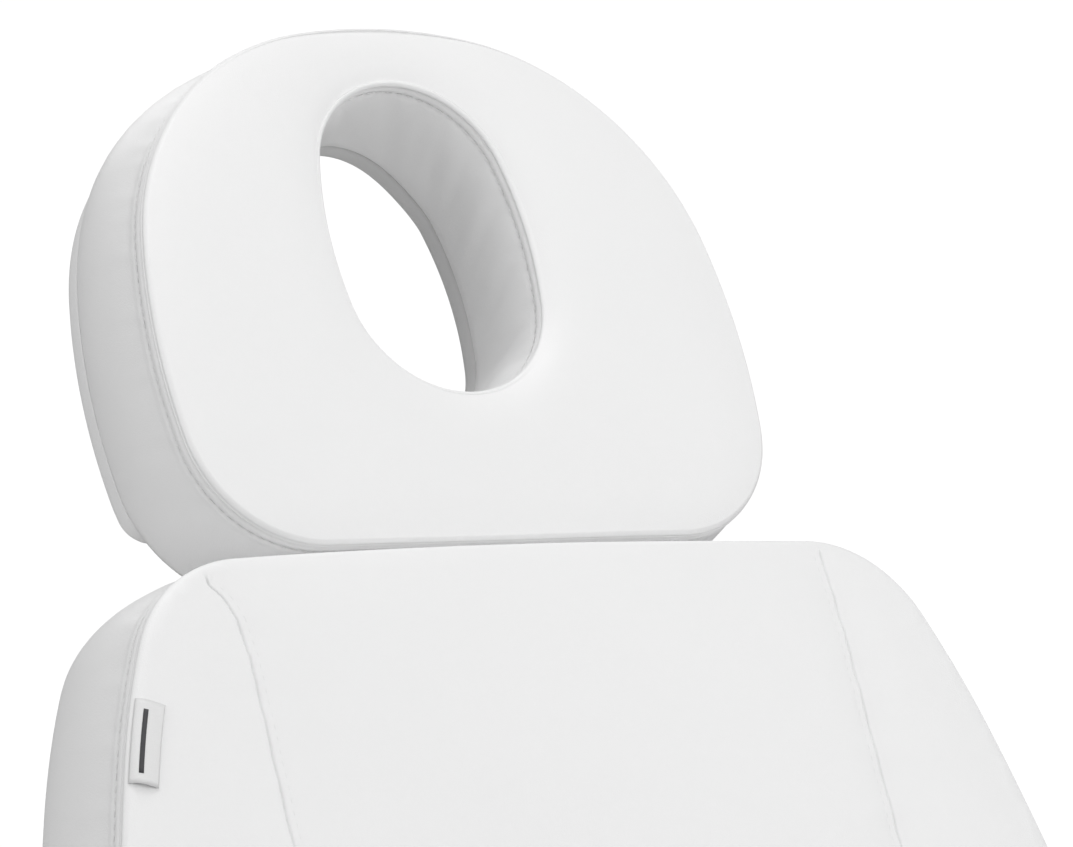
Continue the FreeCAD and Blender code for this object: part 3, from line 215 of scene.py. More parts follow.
WHITE_VINYL = (0.908, 0.908, 0.909)
LOOKS = {
    "vinyl": vinyl("white vinyl", WHITE_VINYL),
    "head_shell": vinyl("shell vinyl", WHITE_VINYL, 0.45),
    "board": plywood("birch ply", (0.62, 0.47, 0.31)),
    "frame_paint": painted("frame powder coat", (0.80, 0.81, 0.81)),
    "column_paint": painted("column powder coat", (0.84, 0.845, 0.85), 0.36, 0.00005),
    "zinc": metal("zinc plate", (0.60, 0.61, 0.63), 0.3, (1, 1, 0.1)),
    "chrome": metal("bright chrome", (0.80, 0.81, 0.82), 0.09, (1, 1, 0.05), 0.000006),
    "abs": moulded("white moulding", (0.84, 0.84, 0.83)),
    "grey_plastic": moulded("grey moulding", (0.36, 0.37, 0.39)),
    "black_plastic": moulded("black moulding", (0.035, 0.035, 0.04), 0.45),
    "actuator": moulded("actuator nylon", (0.06, 0.06, 0.065), 0.55, 0.0001),
    "rubber": moulded("rubber", (0.03, 0.03, 0.03), 0.75, 0.00015),
    "tab": woven("satin tape", (0.83, 0.83, 0.83)),
    "key": moulded("key cap", (0.22, 0.33, 0.46), 0.35, 0.00003),
}
THREAD = thread("white thread", (0.86, 0.86, 0.86))
# The hole's lining is grey vinyl as painted shade: the grey stands for the shadow on the hole's rear band,
# not the vinyl's own colour.
LINING_PAINTED_SHADE = vinyl("lining vinyl painted shade", (0.66, 0.66, 0.66), 0.5)
DARK_THREAD = thread("dark thread", (0.05, 0.05, 0.055))


def finish_cad_nodes():
    """Every node that stays shown gets the finish that its material slot names."""
    for made in frame["nodes"].values():
        for slot in made.material_slots:
            base = slot.material.name.split(".")[0] if slot.material else ""
            slot.material = LOOKS.get(base, LOOKS["frame_paint"])


# ---------------------------------------------------------------- outlines

def arcs(start, turns, step=0.6 * MM):
    """Points along arcs that follow on from each other, turning right, first heading along +X."""
    x, y = start
    heading = 0.0
    points = [(x, y)]
    for radius, degrees in turns:
        turn = math.radians(degrees)
        centre = (x + radius * math.sin(heading), y - radius * math.cos(heading))
        count = max(2, math.ceil(radius * turn / step))
        for index in range(1, count + 1):
            angle = heading - turn * index / count
            points.append((centre[0] - radius * math.sin(angle), centre[1] + radius * math.cos(angle)))
        x, y = points[-1]
        heading -= turn
    return points


def loop_normals(points):
    """Unit normals that point out of a clockwise loop."""
    tangent = np.roll(points, -1, axis=0) - np.roll(points, 1, axis=0)
    tangent /= np.linalg.norm(tangent, axis=1)[:, None]
    return np.column_stack([-tangent[:, 1], tangent[:, 0]])


def closed(half, count):
    """A mirrored half outline as evenly spaced points, clockwise from the top, and their normals."""
    half = np.array(half)
    last = np.array([[0.0, half[-1, 1]]])
    right = np.vstack([half, last])
    left = right[::-1] * (-1, 1)
    loop = np.vstack([right, left[1:]])
    steps = np.hypot(*np.diff(loop, axis=0).T)
    along = np.concatenate([[0], np.cumsum(steps)])
    wanted = np.linspace(0, along[-1], count, endpoint=False)
    points = np.column_stack([np.interp(wanted, along, loop[:, axis]) for axis in (0, 1)])
    return points, loop_normals(points)


def head_half():
    turns = [(299, 9.8), (152.4, 69), (342, 18.8), (67.7, 82.4)]
    return arcs((0, 295.4 * MM), [(radius * MM, degrees) for radius, degrees in turns])


def hole_half():
    turns = [(57.4, 76.3), (213, 22.8), (59.9, 80.9)]
    return arcs((0, 262.4 * MM), [(radius * MM, degrees) for radius, degrees in turns])


def back_half():
    turns = [(4964, 2.04), (71.2, 63.2), (455, 8.63), (1326, 23.7), (40, 82.43)]
    return arcs((0, 727.8 * MM), [(radius * MM, degrees) for radius, degrees in turns])


def rectangle_half(half_width, low, high, corner):
    points = [(0, high)]
    points += arcs((half_width - corner, high), [(corner, 90)])
    side = np.array(points[-1])
    reach = side[1] - (low + corner)
    rows = max(2, int(reach / (2 * MM)))
    points += [(half_width, side[1] - reach * (index + 1) / rows) for index in range(rows)]
    lower = [(x, low + high - y) for x, y in arcs((half_width - corner, high), [(corner, 90)])]
    return points + lower[::-1]


# ---------------------------------------------------------------- meshes

def build(name, vertices, faces, place, material, body, nodes=()):
    """One piece from local points: placed, shaded, given its finish and set on its body."""
    mesh = bpy.data.meshes.new(name)
    mesh.from_pydata([place @ Vector(v) for v in vertices], [], faces)
    mesh.validate()
    edit = bmesh.new()
    edit.from_mesh(mesh)
    bmesh.ops.recalc_face_normals(edit, faces=edit.faces)
    edit.to_mesh(mesh)
    edit.free()
    mesh.shade_smooth()
    mesh.materials.append(material)
    made = bpy.data.objects.new(name, mesh)
    bpy.context.scene.collection.objects.link(made)
    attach(made, body)
    if nodes:
        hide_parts(*nodes)
    return made


def ring(points, normals, out, height):
    """The outline moved outwards and set at a height; out and height may vary round it."""
    moved = points + normals * np.asarray(out).reshape(-1, 1)
    return np.column_stack([moved, np.broadcast_to(height, len(points))])


def strips(count, rings, wrap=False):
    """Quads between rings that follow on from each other."""
    faces = []
    pairs = list(zip(range(rings - 1), range(1, rings)))
    if wrap:
        pairs.append((rings - 1, 0))
    for first, second in pairs:
        for index in range(count):
            after = (index + 1) % count
            faces.append((first * count + index, first * count + after,
                          second * count + after, second * count + index))
    return faces


def ripple(distance, waves):
    """A fixed uneven wave along a length, between about -1 and 1."""
    total = sum(weight for _, _, weight in waves)
    return sum(weight * np.sin(2 * math.pi * distance / (length * MM) + phase)
               for length, phase, weight in waves) / total


# A cushion's face, its crown and its lengthwise seams: heights and depths are in millimetres,
# reaches, places and widths in metres.
PANEL_STITCH = 4.5 * MM
SEAM_CLEAR = 2.6 * MM
SWING_LENGTH, SWING_WIDTH = 11.5 * MM, 45 * MM
CROWN_REACH, EDGE_REACH, TOP_EDGE_REACH = 26 * MM, 20 * MM, 14 * MM
VALLEY_REACH, VALLEY_FADE = 17 * MM, 12 * MM
CREASE_DEPTH, CREASE_WIDTH = 1.2, 0.42 * MM
WELT_HEIGHT, WELT_PLACE, WELT_WIDTH = 0.3, 2.4 * MM, 1.6 * MM
DIMPLE_DEPTH, DIMPLE_WIDTH = 0.25, 0.8 * MM
DRIFT_HEIGHT, DRIFT_REACH = 0.35, 40 * MM

# How much lower the last three rows of a rolled upper edge lie, from the innermost out, in mm.
TOP_DROPS = (1.2, 0.9, 0.5)

# Uneven waves, as (length in millimetres, phase, weight).
PUCKERS = ((31, 1.3, 1.0), (17, 0.4, 0.7), (11.3, 2.1, 0.45))
SLOW = ((190, 0.7, 1.0), (113, 2.2, 0.6))

# The sewn edge of a cushion, as (outwards, above the seam) in millimetres: the boxing ends in a
# raised seam allowance, dented by its stitches, and a narrow fold stands between it and the face.
ALLOWANCE = [(1.9, -12.5), (1.7, -11.0), (1.75, -9.6), (1.55, -8.2), (0.95, -7.0), (0.95, -6.2), (1.5, -5.0),
             (1.7, -3.8), (1.5, -2.4), (0.95, -1.4), (0.55, -1.0), (1.0, -0.6), (1.45, 0.0), (1.3, 0.7),
             (0.75, 1.05)]
HEAD_ROLL = [(0.95, 1.5), (0.95, 2.1), (0.6, 2.8), (-0.1, 3.5), (-1.1, 4.3)]
BACK_ROLL = [(1.25, 1.5), (1.6, 2.3), (1.5, 3.2), (0.9, 4.2), (0.0, 5.1), (-1.3, 6.2)]
STITCH_OUT, STITCH_DOWN = 1.05, -6.6


def belly(share):
    """Bulge of a side wall between its rear edge at 0 and its sewn edge at 1, greatest near 0.4."""
    return 2.71 * (share + 0.04) ** 0.6 * (1 - share)


def loop_lengths(points):
    steps = np.linalg.norm(np.roll(points, -1, axis=0) - points, axis=1)
    return np.concatenate([[0], np.cumsum(steps)[:-1]])


def pucker(along, height):
    """Small folds gathered at the stitching and a slow unevenness further down, in millimetres."""
    near = math.exp(-abs(height + 15) / 9) if height < -9 else 0.3 * math.exp(-abs(height + 9) / 4)
    deep = math.exp(-abs(height + 38) / 25)
    return 0.4 * near * ripple(along + 0.3 * height * MM, PUCKERS) + 0.6 * deep * ripple(along, SLOW)


def side_rings(points, normals, low, bulge, flare, seam, closing, roll):
    """Rings of the closing rows, the bulging wall, the stitched allowance and the rolled edge."""
    along = loop_lengths(points)
    rings = []
    rear = flare + bulge * belly(0)
    for out, height in closing:
        rings.append(ring(points, normals, (rear + out) * MM, height * MM + seam))
    top_out, top = ALLOWANCE[0]
    for share in (0.0, 0.02, 0.05, 0.1, 0.17, 0.26, 0.36, 0.47, 0.58, 0.69, 0.79, 0.88, 0.95):
        height = low + (top - low) * share
        out = flare * (1 - share) + bulge * belly(share) + top_out * share - 0.7 * math.exp(-share / 0.012)
        rings.append(ring(points, normals, (out + pucker(along, height)) * MM, height * MM + seam))
    for out, height in ALLOWANCE + roll:
        rings.append(ring(points, normals, (out + pucker(along, height)) * MM, height * MM + seam))
    return rings


def nearest(grid, loop):
    """Distance from each grid point to the loop, and the index of the nearest loop point."""
    far = np.full(len(grid), 1e9)
    index = np.zeros(len(grid), int)
    for start in range(0, len(grid), 2000):
        part = grid[start:start + 2000]
        gap = np.hypot(part[:, None, 0] - loop[None, :, 0], part[:, None, 1] - loop[None, :, 1])
        far[start:start + 2000] = gap.min(1)
        index[start:start + 2000] = gap.argmin(1)
    return far, index


def inside(grid, loop):
    x, y = grid.T
    result = np.zeros(len(grid), bool)
    for (x0, y0), (x1, y1) in zip(loop, np.roll(loop, -1, axis=0)):
        if y0 == y1:
            continue
        crosses = (y0 > y) != (y1 > y)
        result ^= crosses & (x < (x1 - x0) * (y - y0) / (y1 - y0) + x0)
    return result


def face_grid(loop, seams, swing, pitch=6.5 * MM):
    """Points inside the loop, in lanes that crowd together beside the lengthwise seams.

    Returns the points and the straight lane of each; swing is how far the first seam's lanes
    curve outwards at the upper edge.
    """
    reach = np.abs(loop[:, 0]).max()
    columns = list(np.arange(-reach, reach, pitch))
    beside = np.array([0, 0.25, 0.55, 1.0, 1.8, 3.0, PANEL_STITCH / MM, 5.6, 8.0]) * MM
    for seam in seams:
        columns = [x for x in columns if abs(x - seam) > beside[-1] + 2 * MM]
        columns += [seam + side * step for side in (1, -1) for step in beside]
    columns = sorted(set(columns))
    low, high = loop[:, 1].min(), loop[:, 1].max()
    rows = np.arange(low, high, pitch)
    grid = np.array([(x, y) for x in columns for y in rows])
    lanes = grid[:, 0].copy()
    if swing:
        bend = swing * np.exp(-(high - grid[:, 1]) / SWING_LENGTH)
        grid[:, 0] -= bend * np.exp(-((lanes - seams[0]) / SWING_WIDTH) ** 2)
    kept = inside(grid, loop)
    grid, lanes = grid[kept], lanes[kept]
    gap, _ = nearest(grid, loop)
    clear = gap > SEAM_CLEAR
    return grid[clear], lanes[clear]


def face_height(grid, lanes, loop, tops, seams, edge, rise, crown, pinch):
    """Height over the seam plane: rounded edges, a low crown and a valley along each panel seam.

    tops tells, from 0 to 1, how much each point of the loop belongs to a lower rolled upper edge.
    """
    gap, index = nearest(grid, loop)
    top = tops[index]
    full = edge + rise + crown * (1 - np.exp(-gap / CROWN_REACH))
    reach = EDGE_REACH + (TOP_EDGE_REACH - EDGE_REACH) * top
    height = full - (full - edge + TOP_DROPS[0] * top) * np.exp(-gap / reach)
    fade = 1 - np.exp(-gap / VALLEY_FADE)
    for seam in seams:
        inward = (seam - lanes) * math.copysign(1, seam)
        away = np.abs(inward)
        wave = 1 + 0.25 * ripple(grid[:, 1], PUCKERS)
        height -= pinch * wave * np.exp(-away / VALLEY_REACH) * fade
        height -= CREASE_DEPTH * np.exp(-(away / CREASE_WIDTH) ** 2)
        height += WELT_HEIGHT * np.exp(-((inward - WELT_PLACE) / WELT_WIDTH) ** 2) * fade
        height -= DIMPLE_DEPTH * np.exp(-((inward - PANEL_STITCH) / DIMPLE_WIDTH) ** 2) * fade
    slanted = grid[:, 1] + 0.6 * grid[:, 0]
    height += DRIFT_HEIGHT * ripple(slanted, SLOW) * (1 - np.exp(-gap / DRIFT_REACH))
    return height * MM


def cushion(name, node, body, place, half, seam, low, closing, bulge, flare, rise, crown, count,
            seams=(), pinch=0.0, rolled=0.0, swing=0.0):
    """A boxed cushion: a wrapped side wall, a sewn edge and a face with lengthwise panel seams.

    seam is the height of the sewn edge in metres. low and the heights in closing are in millimetres
    from it, and bulge, flare, rise, crown and pinch are in millimetres.
    """
    points, normals = closed(half, count)
    tops = rolled * np.clip(normals[:, 1], 0, 1) ** 1.5
    rings = side_rings(points, normals, low, bulge, flare, seam, closing, BACK_ROLL)
    edge = BACK_ROLL[-1][1]
    for row, drop in enumerate(TOP_DROPS, start=1):
        rings[-row][:, 2] -= drop * MM * tops
    vertices = np.vstack(rings)
    faces = strips(count, len(rings))
    faces.append(tuple(range(count)))
    loop = rings[-1][:, :2]
    grid, lanes = face_grid(loop, seams, swing)
    height = face_height(grid, lanes, loop, tops, seams, edge, rise, crown, pinch) + seam
    flat = [Vector(p) for p in np.vstack([loop, grid])]
    edges = [(index, (index + 1) % count) for index in range(count)]
    for lane in np.unique(lanes):
        line = count + np.flatnonzero(lanes == lane)
        edges += list(zip(line[:-1].tolist(), line[1:].tolist()))
    _, _, triangles, origins, _, _ = delaunay_2d_cdt(flat, edges, [], 1, 1e-7)
    base = len(vertices) - count
    faces += [tuple(base + origins[corner][0] for corner in triangle) for triangle in triangles]
    vertices = np.vstack([vertices, np.column_stack([grid, height])])
    build(name, vertices.tolist(), faces, place, LOOKS["vinyl"], body, node)
    edge_path = ring(points, normals, STITCH_OUT * MM, STITCH_DOWN * MM + seam)
    sides = np.column_stack([normals, np.zeros(count)])
    sew(name + "_stitches", edge_path, sides, place, body)
    for number, x in enumerate(seams):
        chosen = np.flatnonzero(np.abs(lanes - (x - math.copysign(PANEL_STITCH, x))) < 1e-6)
        chosen = chosen[np.argsort(grid[chosen, 1])]
        path = np.column_stack([grid[chosen], height[chosen] - 0.12 * MM])
        up = np.tile((0.0, 0.0, 1.0), (len(path), 1))
        sew("%s_panel_stitches%d" % (name, number), path, up, place, body, loop=False, length=3.4 * MM,
            radius=0.2 * MM)
    return points, normals


def sew(name, path, outward, place, body, loop=True, pitch=6.3 * MM, length=4.3 * MM, radius=0.34 * MM):
    """Separate stitches along a path: short tapered threads that dip into the cover at each end."""
    if loop:
        path = np.vstack([path, path[:1]])
        outward = np.vstack([outward, outward[:1]])
    steps = np.linalg.norm(np.diff(path, axis=0), axis=1)
    along = np.concatenate([[0], np.cumsum(steps)])
    count = int(along[-1] / pitch)
    pitch = along[-1] / count
    spots = [(-0.5, -0.3, 0.35), (-0.36, 0.28, 0.9), (0.0, 0.42, 1.0), (0.36, 0.28, 0.9), (0.5, -0.3, 0.35)]
    sides = 6
    vertices = []
    faces = []

    def at(table, where):
        return np.array([np.interp(where, along, table[:, axis]) for axis in range(3)])

    for number in range(count):
        middle = (number + 0.5) * pitch
        heading = at(path, middle + length / 2) - at(path, middle - length / 2)
        if np.linalg.norm(heading) < length * 0.3:
            continue
        heading /= np.linalg.norm(heading)
        up = at(outward, middle)
        up -= heading * up.dot(heading)
        up /= np.linalg.norm(up)
        across = np.cross(heading, up)
        centre = at(path, middle)
        base = len(vertices)
        for share, lift, width in spots:
            hub = centre + heading * share * length + up * lift * radius
            for side in range(sides):
                angle = 2 * math.pi * side / sides
                vertices.append(hub + (across * math.cos(angle) + up * math.sin(angle)) * radius * width)
        for row in range(len(spots) - 1):
            for side in range(sides):
                after = (side + 1) % sides
                faces.append((base + row * sides + side, base + row * sides + after,
                              base + (row + 1) * sides + after, base + (row + 1) * sides + side))
        faces.append(tuple(base + side for side in reversed(range(sides))))
        faces.append(tuple(base + (len(spots) - 1) * sides + side for side in range(sides)))
    return build(name, vertices, faces, place, THREAD, body)


# ---------------------------------------------------------------- headrest

HEAD_FOAM = 69.0
HEAD_BOARD = 13.0


def matched_hole(outer, count):
    """Hole outline points on the same rays from the hole's middle as the outer ones."""
    hole, _ = closed(hole_half(), count * 4)
    middle = np.array([0.0, (hole[:, 1].max() + hole[:, 1].min()) / 2])
    angle = np.unwrap(np.arctan2(*(hole - middle).T))
    order = np.argsort(angle)
    wanted = np.arctan2(*(outer - middle).T)
    wanted = (wanted - angle.min()) % (2 * math.pi) + angle.min()
    points = np.column_stack([np.interp(wanted, angle[order], hole[order, axis], period=2 * math.pi)
                              for axis in (0, 1)])
    return points, loop_normals(points)


# The hole's edge from the face inwards, as (away from the hole's middle, above the seam) in mm.
RIM = [(2.6, 2.5), (1.6, 2.15), (0.8, 1.6), (0.3, 0.9), (0.25, 0.1), (0.6, -0.5), (1.2, -0.9), (0.75, -1.3),
       (0.15, -2.4), (-0.1, -3.8), (0.1, -5.0), (0.55, -6.0), (0.5, -6.8), (-0.1, -8.2), (-0.6, -11),
       (-1.3, -16), (-1.9, -23), (-2.2, -31), (-2.2, -39), (-1.9, -47), (-1.5, -55), (-1.0, -62),
       (-0.4, -67.5), (0.5, -HEAD_FOAM)]
RIM_STITCH = (0.25, -6.3)


def corner_share(normals, middle, spread):
    """Share of an effect that is greatest where the outline faces a given angle from its top."""
    angle = np.degrees(np.arctan2(np.abs(normals[:, 0]), normals[:, 1]))
    return np.exp(-((angle - middle) / spread) ** 2)


def head_bulge(normals):
    return 3.6 + 5.4 * corner_share(normals, 50, 30)


def hole_squeeze(away):
    """How far the rear of the hole's wall leans inwards, in millimetres."""
    return 4.6 * corner_share(away, 55, 30)


HEAD_FLARE = 0.8
HEAD_FACE = 10.5
RIM_REACH = 14 * MM
LINING_DEPTH = 3.0


def headrest():
    count = 600
    outer, normals = closed(head_half(), count)
    hole, away = matched_hole(outer, count)
    closing = [(-3.5, -HEAD_FOAM), (-0.1, -HEAD_FOAM)]
    rings = side_rings(outer, normals, -HEAD_FOAM + 0.4, head_bulge(normals), HEAD_FLARE, 0.0, closing,
                       HEAD_ROLL)
    start = rings[-1][:, :2]
    end = hole + away * RIM[0][0] * MM
    gap = np.linalg.norm(end - start, axis=1)
    edge, rim = HEAD_ROLL[-1][1], RIM[0][1]
    for share in 0.5 - 0.5 * np.cos(np.linspace(0, math.pi, 36)[1:-1]):
        flat = start + (end - start) * share
        height = HEAD_FACE - (HEAD_FACE - edge) * np.exp(-gap * share / CROWN_REACH)
        height -= (HEAD_FACE - rim) * np.exp(-gap * (1 - share) / RIM_REACH)
        rings.append(np.column_stack([flat, height * MM]))
    along = loop_lengths(hole)
    squeeze = hole_squeeze(away)
    for out, height in RIM:
        near = math.exp(-abs(height + 14) / 8) if height < -8 else 0.0
        deep = math.exp(-((height + 36) / 18) ** 2)
        lift = 0.4 * near * ripple(along, PUCKERS) + 1.1 * deep * ripple(along + 0.5 * height * MM, PUCKERS)
        lean = squeeze * min(1, max(0, -height - 8) / 50)
        rings.append(ring(hole, away, (out + lift - lean) * MM, height * MM))
    for share in (0.3, 0.65):
        rear = rings[-1][:, :2] * (1 - share) + rings[0][:, :2] * share
        rings.append(np.column_stack([rear, np.full(count, -HEAD_FOAM * MM)]))
    build("headrest_cover", np.vstack(rings).tolist(), strips(count, len(rings), wrap=True), HEAD,
          LOOKS["vinyl"], "headrest", ["headrest_cushion"])
    flat = np.zeros(count)
    sew("headrest_edge_stitches", ring(outer, normals, STITCH_OUT * MM, STITCH_DOWN * MM),
        np.column_stack([normals, flat]), HEAD, "headrest")
    sew("headrest_hole_stitches", ring(hole, away, RIM_STITCH[0] * MM, RIM_STITCH[1] * MM),
        np.column_stack([-away, flat]), HEAD, "headrest")
    head_shell(count)


def head_shell(count):
    """The vinyl-wrapped board behind the foam, cut short below, and the lining of its hole, coloured grey as
    painted shade.
    """
    cut = 38 * MM
    corner = 13 * MM
    half = [p for p in head_half() if p[1] > cut + corner or p[1] > 150 * MM]
    side = half[-1]
    turn = [(side[0] - corner * (1 - math.cos(a)) - 1.5 * MM * math.sin(a), side[1] - corner * math.sin(a))
            for a in np.linspace(0.1, math.pi / 2, 14)]
    outer, normals = closed(half + turn, count)
    hole, away = matched_hole(outer, count)
    front = -HEAD_FOAM - 0.15
    rear = -HEAD_FOAM - HEAD_BOARD
    follow = HEAD_FLARE + head_bulge(normals) * belly(0)
    lean = hole_squeeze(away)
    outside = [(-3.5, front), (-0.12, front), (-0.05, front - 0.1), (0.0, front - 1.5), (-0.1, rear + 5.5),
               (-0.7, rear + 2.4), (-1.9, rear + 0.6), (-4.4, rear)]
    inner = [(LINING_DEPTH, rear), (1.2, rear + 0.4), (0.2, rear + 1.8), (-0.2, rear + 5), (-0.1, front - 3),
             (0.4, front - 0.9), (1.2, front), (LINING_DEPTH, front)]
    rings = [ring(outer, normals, (follow + out) * MM, height * MM) for out, height in outside]
    first = rings[-1][:, :2]
    last = ring(hole, away, (inner[0][0] - lean) * MM, 0)[:, :2]
    for share in (0.25, 0.5, 0.75):
        rings.append(np.column_stack([first + (last - first) * share, np.full(count, rear * MM)]))
    behind = LINING_DEPTH + 0.05
    rings += [ring(hole, away, (behind - lean) * MM, height * MM) for height in (rear, front)]
    build("headrest_shell", np.vstack(rings).tolist(), strips(count, len(rings), wrap=True), HEAD,
          LOOKS["head_shell"], "headrest", ["headrest_board"])
    # The hole's lining is given the grey vinyl of painted shade.
    rings = [ring(hole, away, (out - lean) * MM, height * MM) for out, height in inner]
    build("headrest_hole_lining_painted_shade", np.vstack(rings).tolist(), strips(count, len(rings), wrap=True), HEAD,
          LINING_PAINTED_SHADE, "headrest")


# ---------------------------------------------------------------- backrest

BACK_SEAM = 31 * MM
PANEL_SEAM = 183 * MM
PANELS = (-PANEL_SEAM, PANEL_SEAM)


def backrest():
    board_rear = -79.0
    closing = [(-3.0, -64.2), (-3.0, board_rear - 0.1), (-24.0, board_rear - 0.1), (-24.0, board_rear - 1.0),
               (-3.0, board_rear - 1.0), (-1.0, board_rear - 0.5)]
    return cushion("backrest_cover", ["back_cushion"], "backrest", BACK, back_half(), BACK_SEAM,
                   board_rear + 1, closing, bulge=5.0, flare=2.8, rise=0.8, crown=4.0, count=900,
                   seams=PANELS, pinch=3.6, rolled=1.0, swing=45 * MM)


def sewn_tab(points, normals):
    """A folded satin tab caught in the edge seam on the sitter's right, lying on the face."""
    low, high = 609.3 * MM, 655.8 * MM
    wide = 15.5 * MM
    side = (points[:, 0] < 0) & (points[:, 1] > low) & (points[:, 1] < high)
    rows = np.flatnonzero(side)
    profile = [(0.2, 4.9), (-1.3, 6.2), (-3, 6.9), (-6, 7.3), (-10, 7.6), (-16, 7.9), (-24, 8.1)]
    profile = np.array(profile) * MM
    steps = np.concatenate([[0], np.cumsum(np.hypot(*np.diff(profile, axis=0).T))])
    across = np.linspace(0, wide, 14)
    vertices = []
    for row in rows:
        share = (points[row, 1] - low) / (high - low)
        for distance in across:
            out = np.interp(distance, steps, profile[:, 0])
            height = np.interp(distance, steps, profile[:, 1])
            loft = math.sin(math.pi * min(1, distance / wide)) * (0.7 + 0.3 * math.cos(3 * share))
            puff = 0.5 + 1.5 * loft
            flat = points[row] + normals[row] * (out + puff * MM * (1 - distance / wide) * 0.6)
            vertices.append((flat[0], flat[1], BACK_SEAM + height + puff * MM))
    count = len(across)
    faces = [(r * count + c, r * count + c + 1, (r + 1) * count + c + 1, (r + 1) * count + c)
             for r in range(len(rows) - 1) for c in range(count - 1)]
    made = build("sewn_tab", vertices, faces, BACK, LOOKS["tab"], "backrest", ["label_tab"])
    thick = made.modifiers.new("thickness", "SOLIDIFY")
    thick.thickness = 0.5 * MM
    thick.offset = -1
    stripe = [vertices[r * count + c] for r in range(2, len(rows) - 2) for c in (4, 6)]
    stripe = [(x, y, z + 0.12 * MM) for x, y, z in stripe]
    faces = [(2 * r, 2 * r + 1, 2 * r + 3, 2 * r + 2) for r in range(len(stripe) // 2 - 1)]
    line = build("tab_stripe", stripe, faces, BACK, DARK_THREAD, "backrest")
    thick = line.modifiers.new("thickness", "SOLIDIFY")
    thick.thickness = 0.1 * MM
    thick.offset = 1


# ---------------------------------------------------------------- seat, leg rest and armrests

def flat_closing(low):
    return [(-4.0, low), (-1.2, low + 0.1)]


def seat():
    low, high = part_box("seat_cushion")
    seam = high.z - 10 * MM
    base = (low.z - seam) / MM
    half = rectangle_half((high.x - low.x) / 2, low.y, high.y, 45 * MM)
    cushion("seat_cover", ["seat_cushion"], "seat", Matrix.Identity(4), half, seam, base + 1,
            flat_closing(base), bulge=3.4, flare=0.4, rise=4.6, crown=4.0, count=700, seams=PANELS,
            pinch=2.6)


def leg_rest():
    near, far, half_width = -10 * MM, -460 * MM, 270 * MM
    rear, seam = 35 * MM, 93 * MM
    base = (rear - seam) / MM
    half = rectangle_half(half_width, far, near, 60 * MM)
    cushion("leg_cover", ["leg_cushion"], "leg_rest", LEG, half, seam, base + 1, flat_closing(base),
            bulge=3.4, flare=0.4, rise=4.6, crown=4.0, count=700, seams=PANELS, pinch=2.6)


def armrests():
    for name in ("left", "right"):
        low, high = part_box("arm_pad_" + name)
        middle = (low.x + high.x) / 2
        seam = high.z - 12 * MM
        base = (low.z - seam) / MM
        half = rectangle_half((high.x - low.x) / 2 - 1 * MM, low.y, high.y, 38 * MM)
        cushion("arm_cover_" + name, ["arm_pad_" + name], "armrest_" + name,
                Matrix.Translation((middle, 0, 0)), half, seam, base + 1, flat_closing(base),
                bulge=1.4, flare=0.0, rise=3.0, crown=1.2, count=360)


# ---------------------------------------------------------------- stage, light and camera

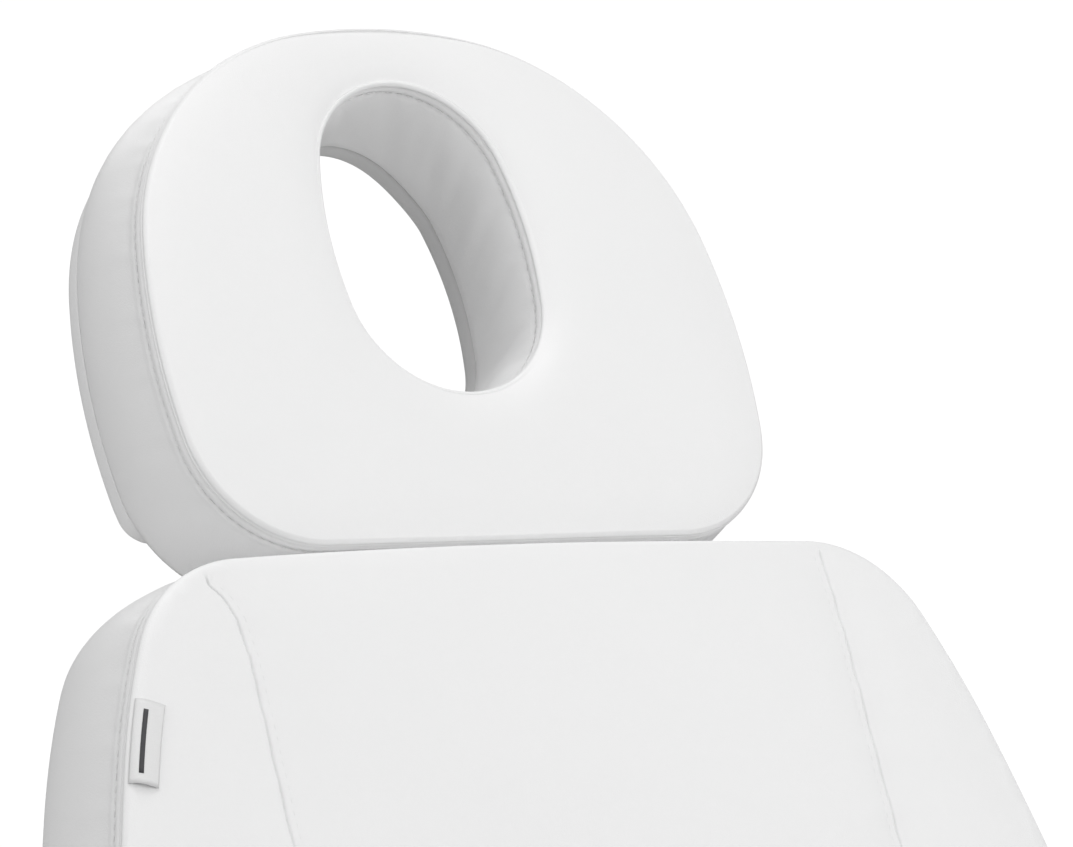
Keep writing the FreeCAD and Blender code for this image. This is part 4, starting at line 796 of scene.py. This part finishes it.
def stage():
    """A plain pale floor under a white surround."""
    floor = bpy.data.meshes.new("floor")
    reach = 3.0
    floor.from_pydata([(-reach, -reach, 0), (reach, -reach, 0), (reach, reach, 0), (-reach, reach, 0)], [],
                      [(0, 1, 2, 3)])
    n = Nodes("pale floor")
    tone = n.blend(n.noise(1.5, 3), (0.86, 0.86, 0.86), (0.88, 0.88, 0.88))
    rough = n.between(n.noise(3, 3), 0.7, 0.8)
    floor.materials.append(n.finish(tone, rough, n.bump(n.noise(300, 2), 0.00005)))
    made = bpy.data.objects.new("floor", floor)
    bpy.context.scene.collection.objects.link(made)
    world = bpy.data.worlds.new("surround")
    bpy.context.scene.world = world
    world.use_nodes = True
    tree = world.node_tree
    sky = tree.nodes["Background"]
    sky.inputs["Color"].default_value = (1, 1, 1, 1)
    ray = tree.nodes.new("ShaderNodeLightPath")
    level = tree.nodes.new("ShaderNodeMapRange")
    level.inputs["To Min"].default_value = SKY_LIGHT
    level.inputs["To Max"].default_value = SKY_SHOWN
    tree.links.new(ray.outputs["Is Camera Ray"], level.inputs["Value"])
    tree.links.new(level.outputs["Result"], sky.inputs["Strength"])


def lamp(name, place, aim, size, power):
    light = bpy.data.lights.new(name, "AREA")
    light.shape = "DISK"
    light.size = size
    light.energy = power
    made = bpy.data.objects.new(name, light)
    made.location = place
    made.rotation_euler = (Vector(place) - Vector(aim)).to_track_quat("Z", "Y").to_euler()
    made.visible_camera = False
    bpy.context.scene.collection.objects.link(made)


# Soft lamps round the headrest, as (place from its origin in metres, power in watts).
LAMPS = {"front": ((0, -2.6, 0.9), 22), "right_front": ((1.8, -1.8, 1.0), 13),
         "left": ((-2.6, 0, 0.6), 16), "top": ((0, -0.3, 2.4), 18), "right": ((2.4, 0.2, 0.8), 5),
         "rear": ((0.4, 2.4, 1.6), 10), "top_left": ((-1.2, -0.6, 1.9), 7)}
LAMP_SIZE = 1.6
# Brightness of the surround as a light, and as the camera sees it.
SKY_LIGHT, SKY_SHOWN = 0.25, 1.05

CAMERA_DISTANCE = 2.79
CAMERA_AIM = Vector((17.1, 0, 59.7)) * MM
CAMERA_AZIMUTH, CAMERA_HEIGHT = -34.3, 1.18
LENS = 181.2


def light_and_camera():
    head = HEAD.translation
    for name, (place, power) in LAMPS.items():
        lamp(name, head + Vector(place), head, LAMP_SIZE, power)
    azimuth, height = math.radians(CAMERA_AZIMUTH), math.radians(CAMERA_HEIGHT)
    back = Vector((math.sin(azimuth) * math.cos(height), -math.cos(azimuth) * math.cos(height),
                   math.sin(height)))
    camera = bpy.data.cameras.new("camera")
    camera.lens = LENS
    camera.sensor_width = 36
    camera.clip_start = 0.05
    camera.clip_end = 100
    made = bpy.data.objects.new("camera", camera)
    aim = head + CAMERA_AIM
    made.location = aim + back * CAMERA_DISTANCE
    made.rotation_euler = back.to_track_quat("Z", "Y").to_euler()
    bpy.context.scene.collection.objects.link(made)
    bpy.context.scene.camera = made
    bpy.context.scene.view_settings.view_transform = "Standard"


finish_cad_nodes()
headrest()
sewn_tab(*backrest())
seat()
leg_rest()
armrests()
stage()
light_and_camera()
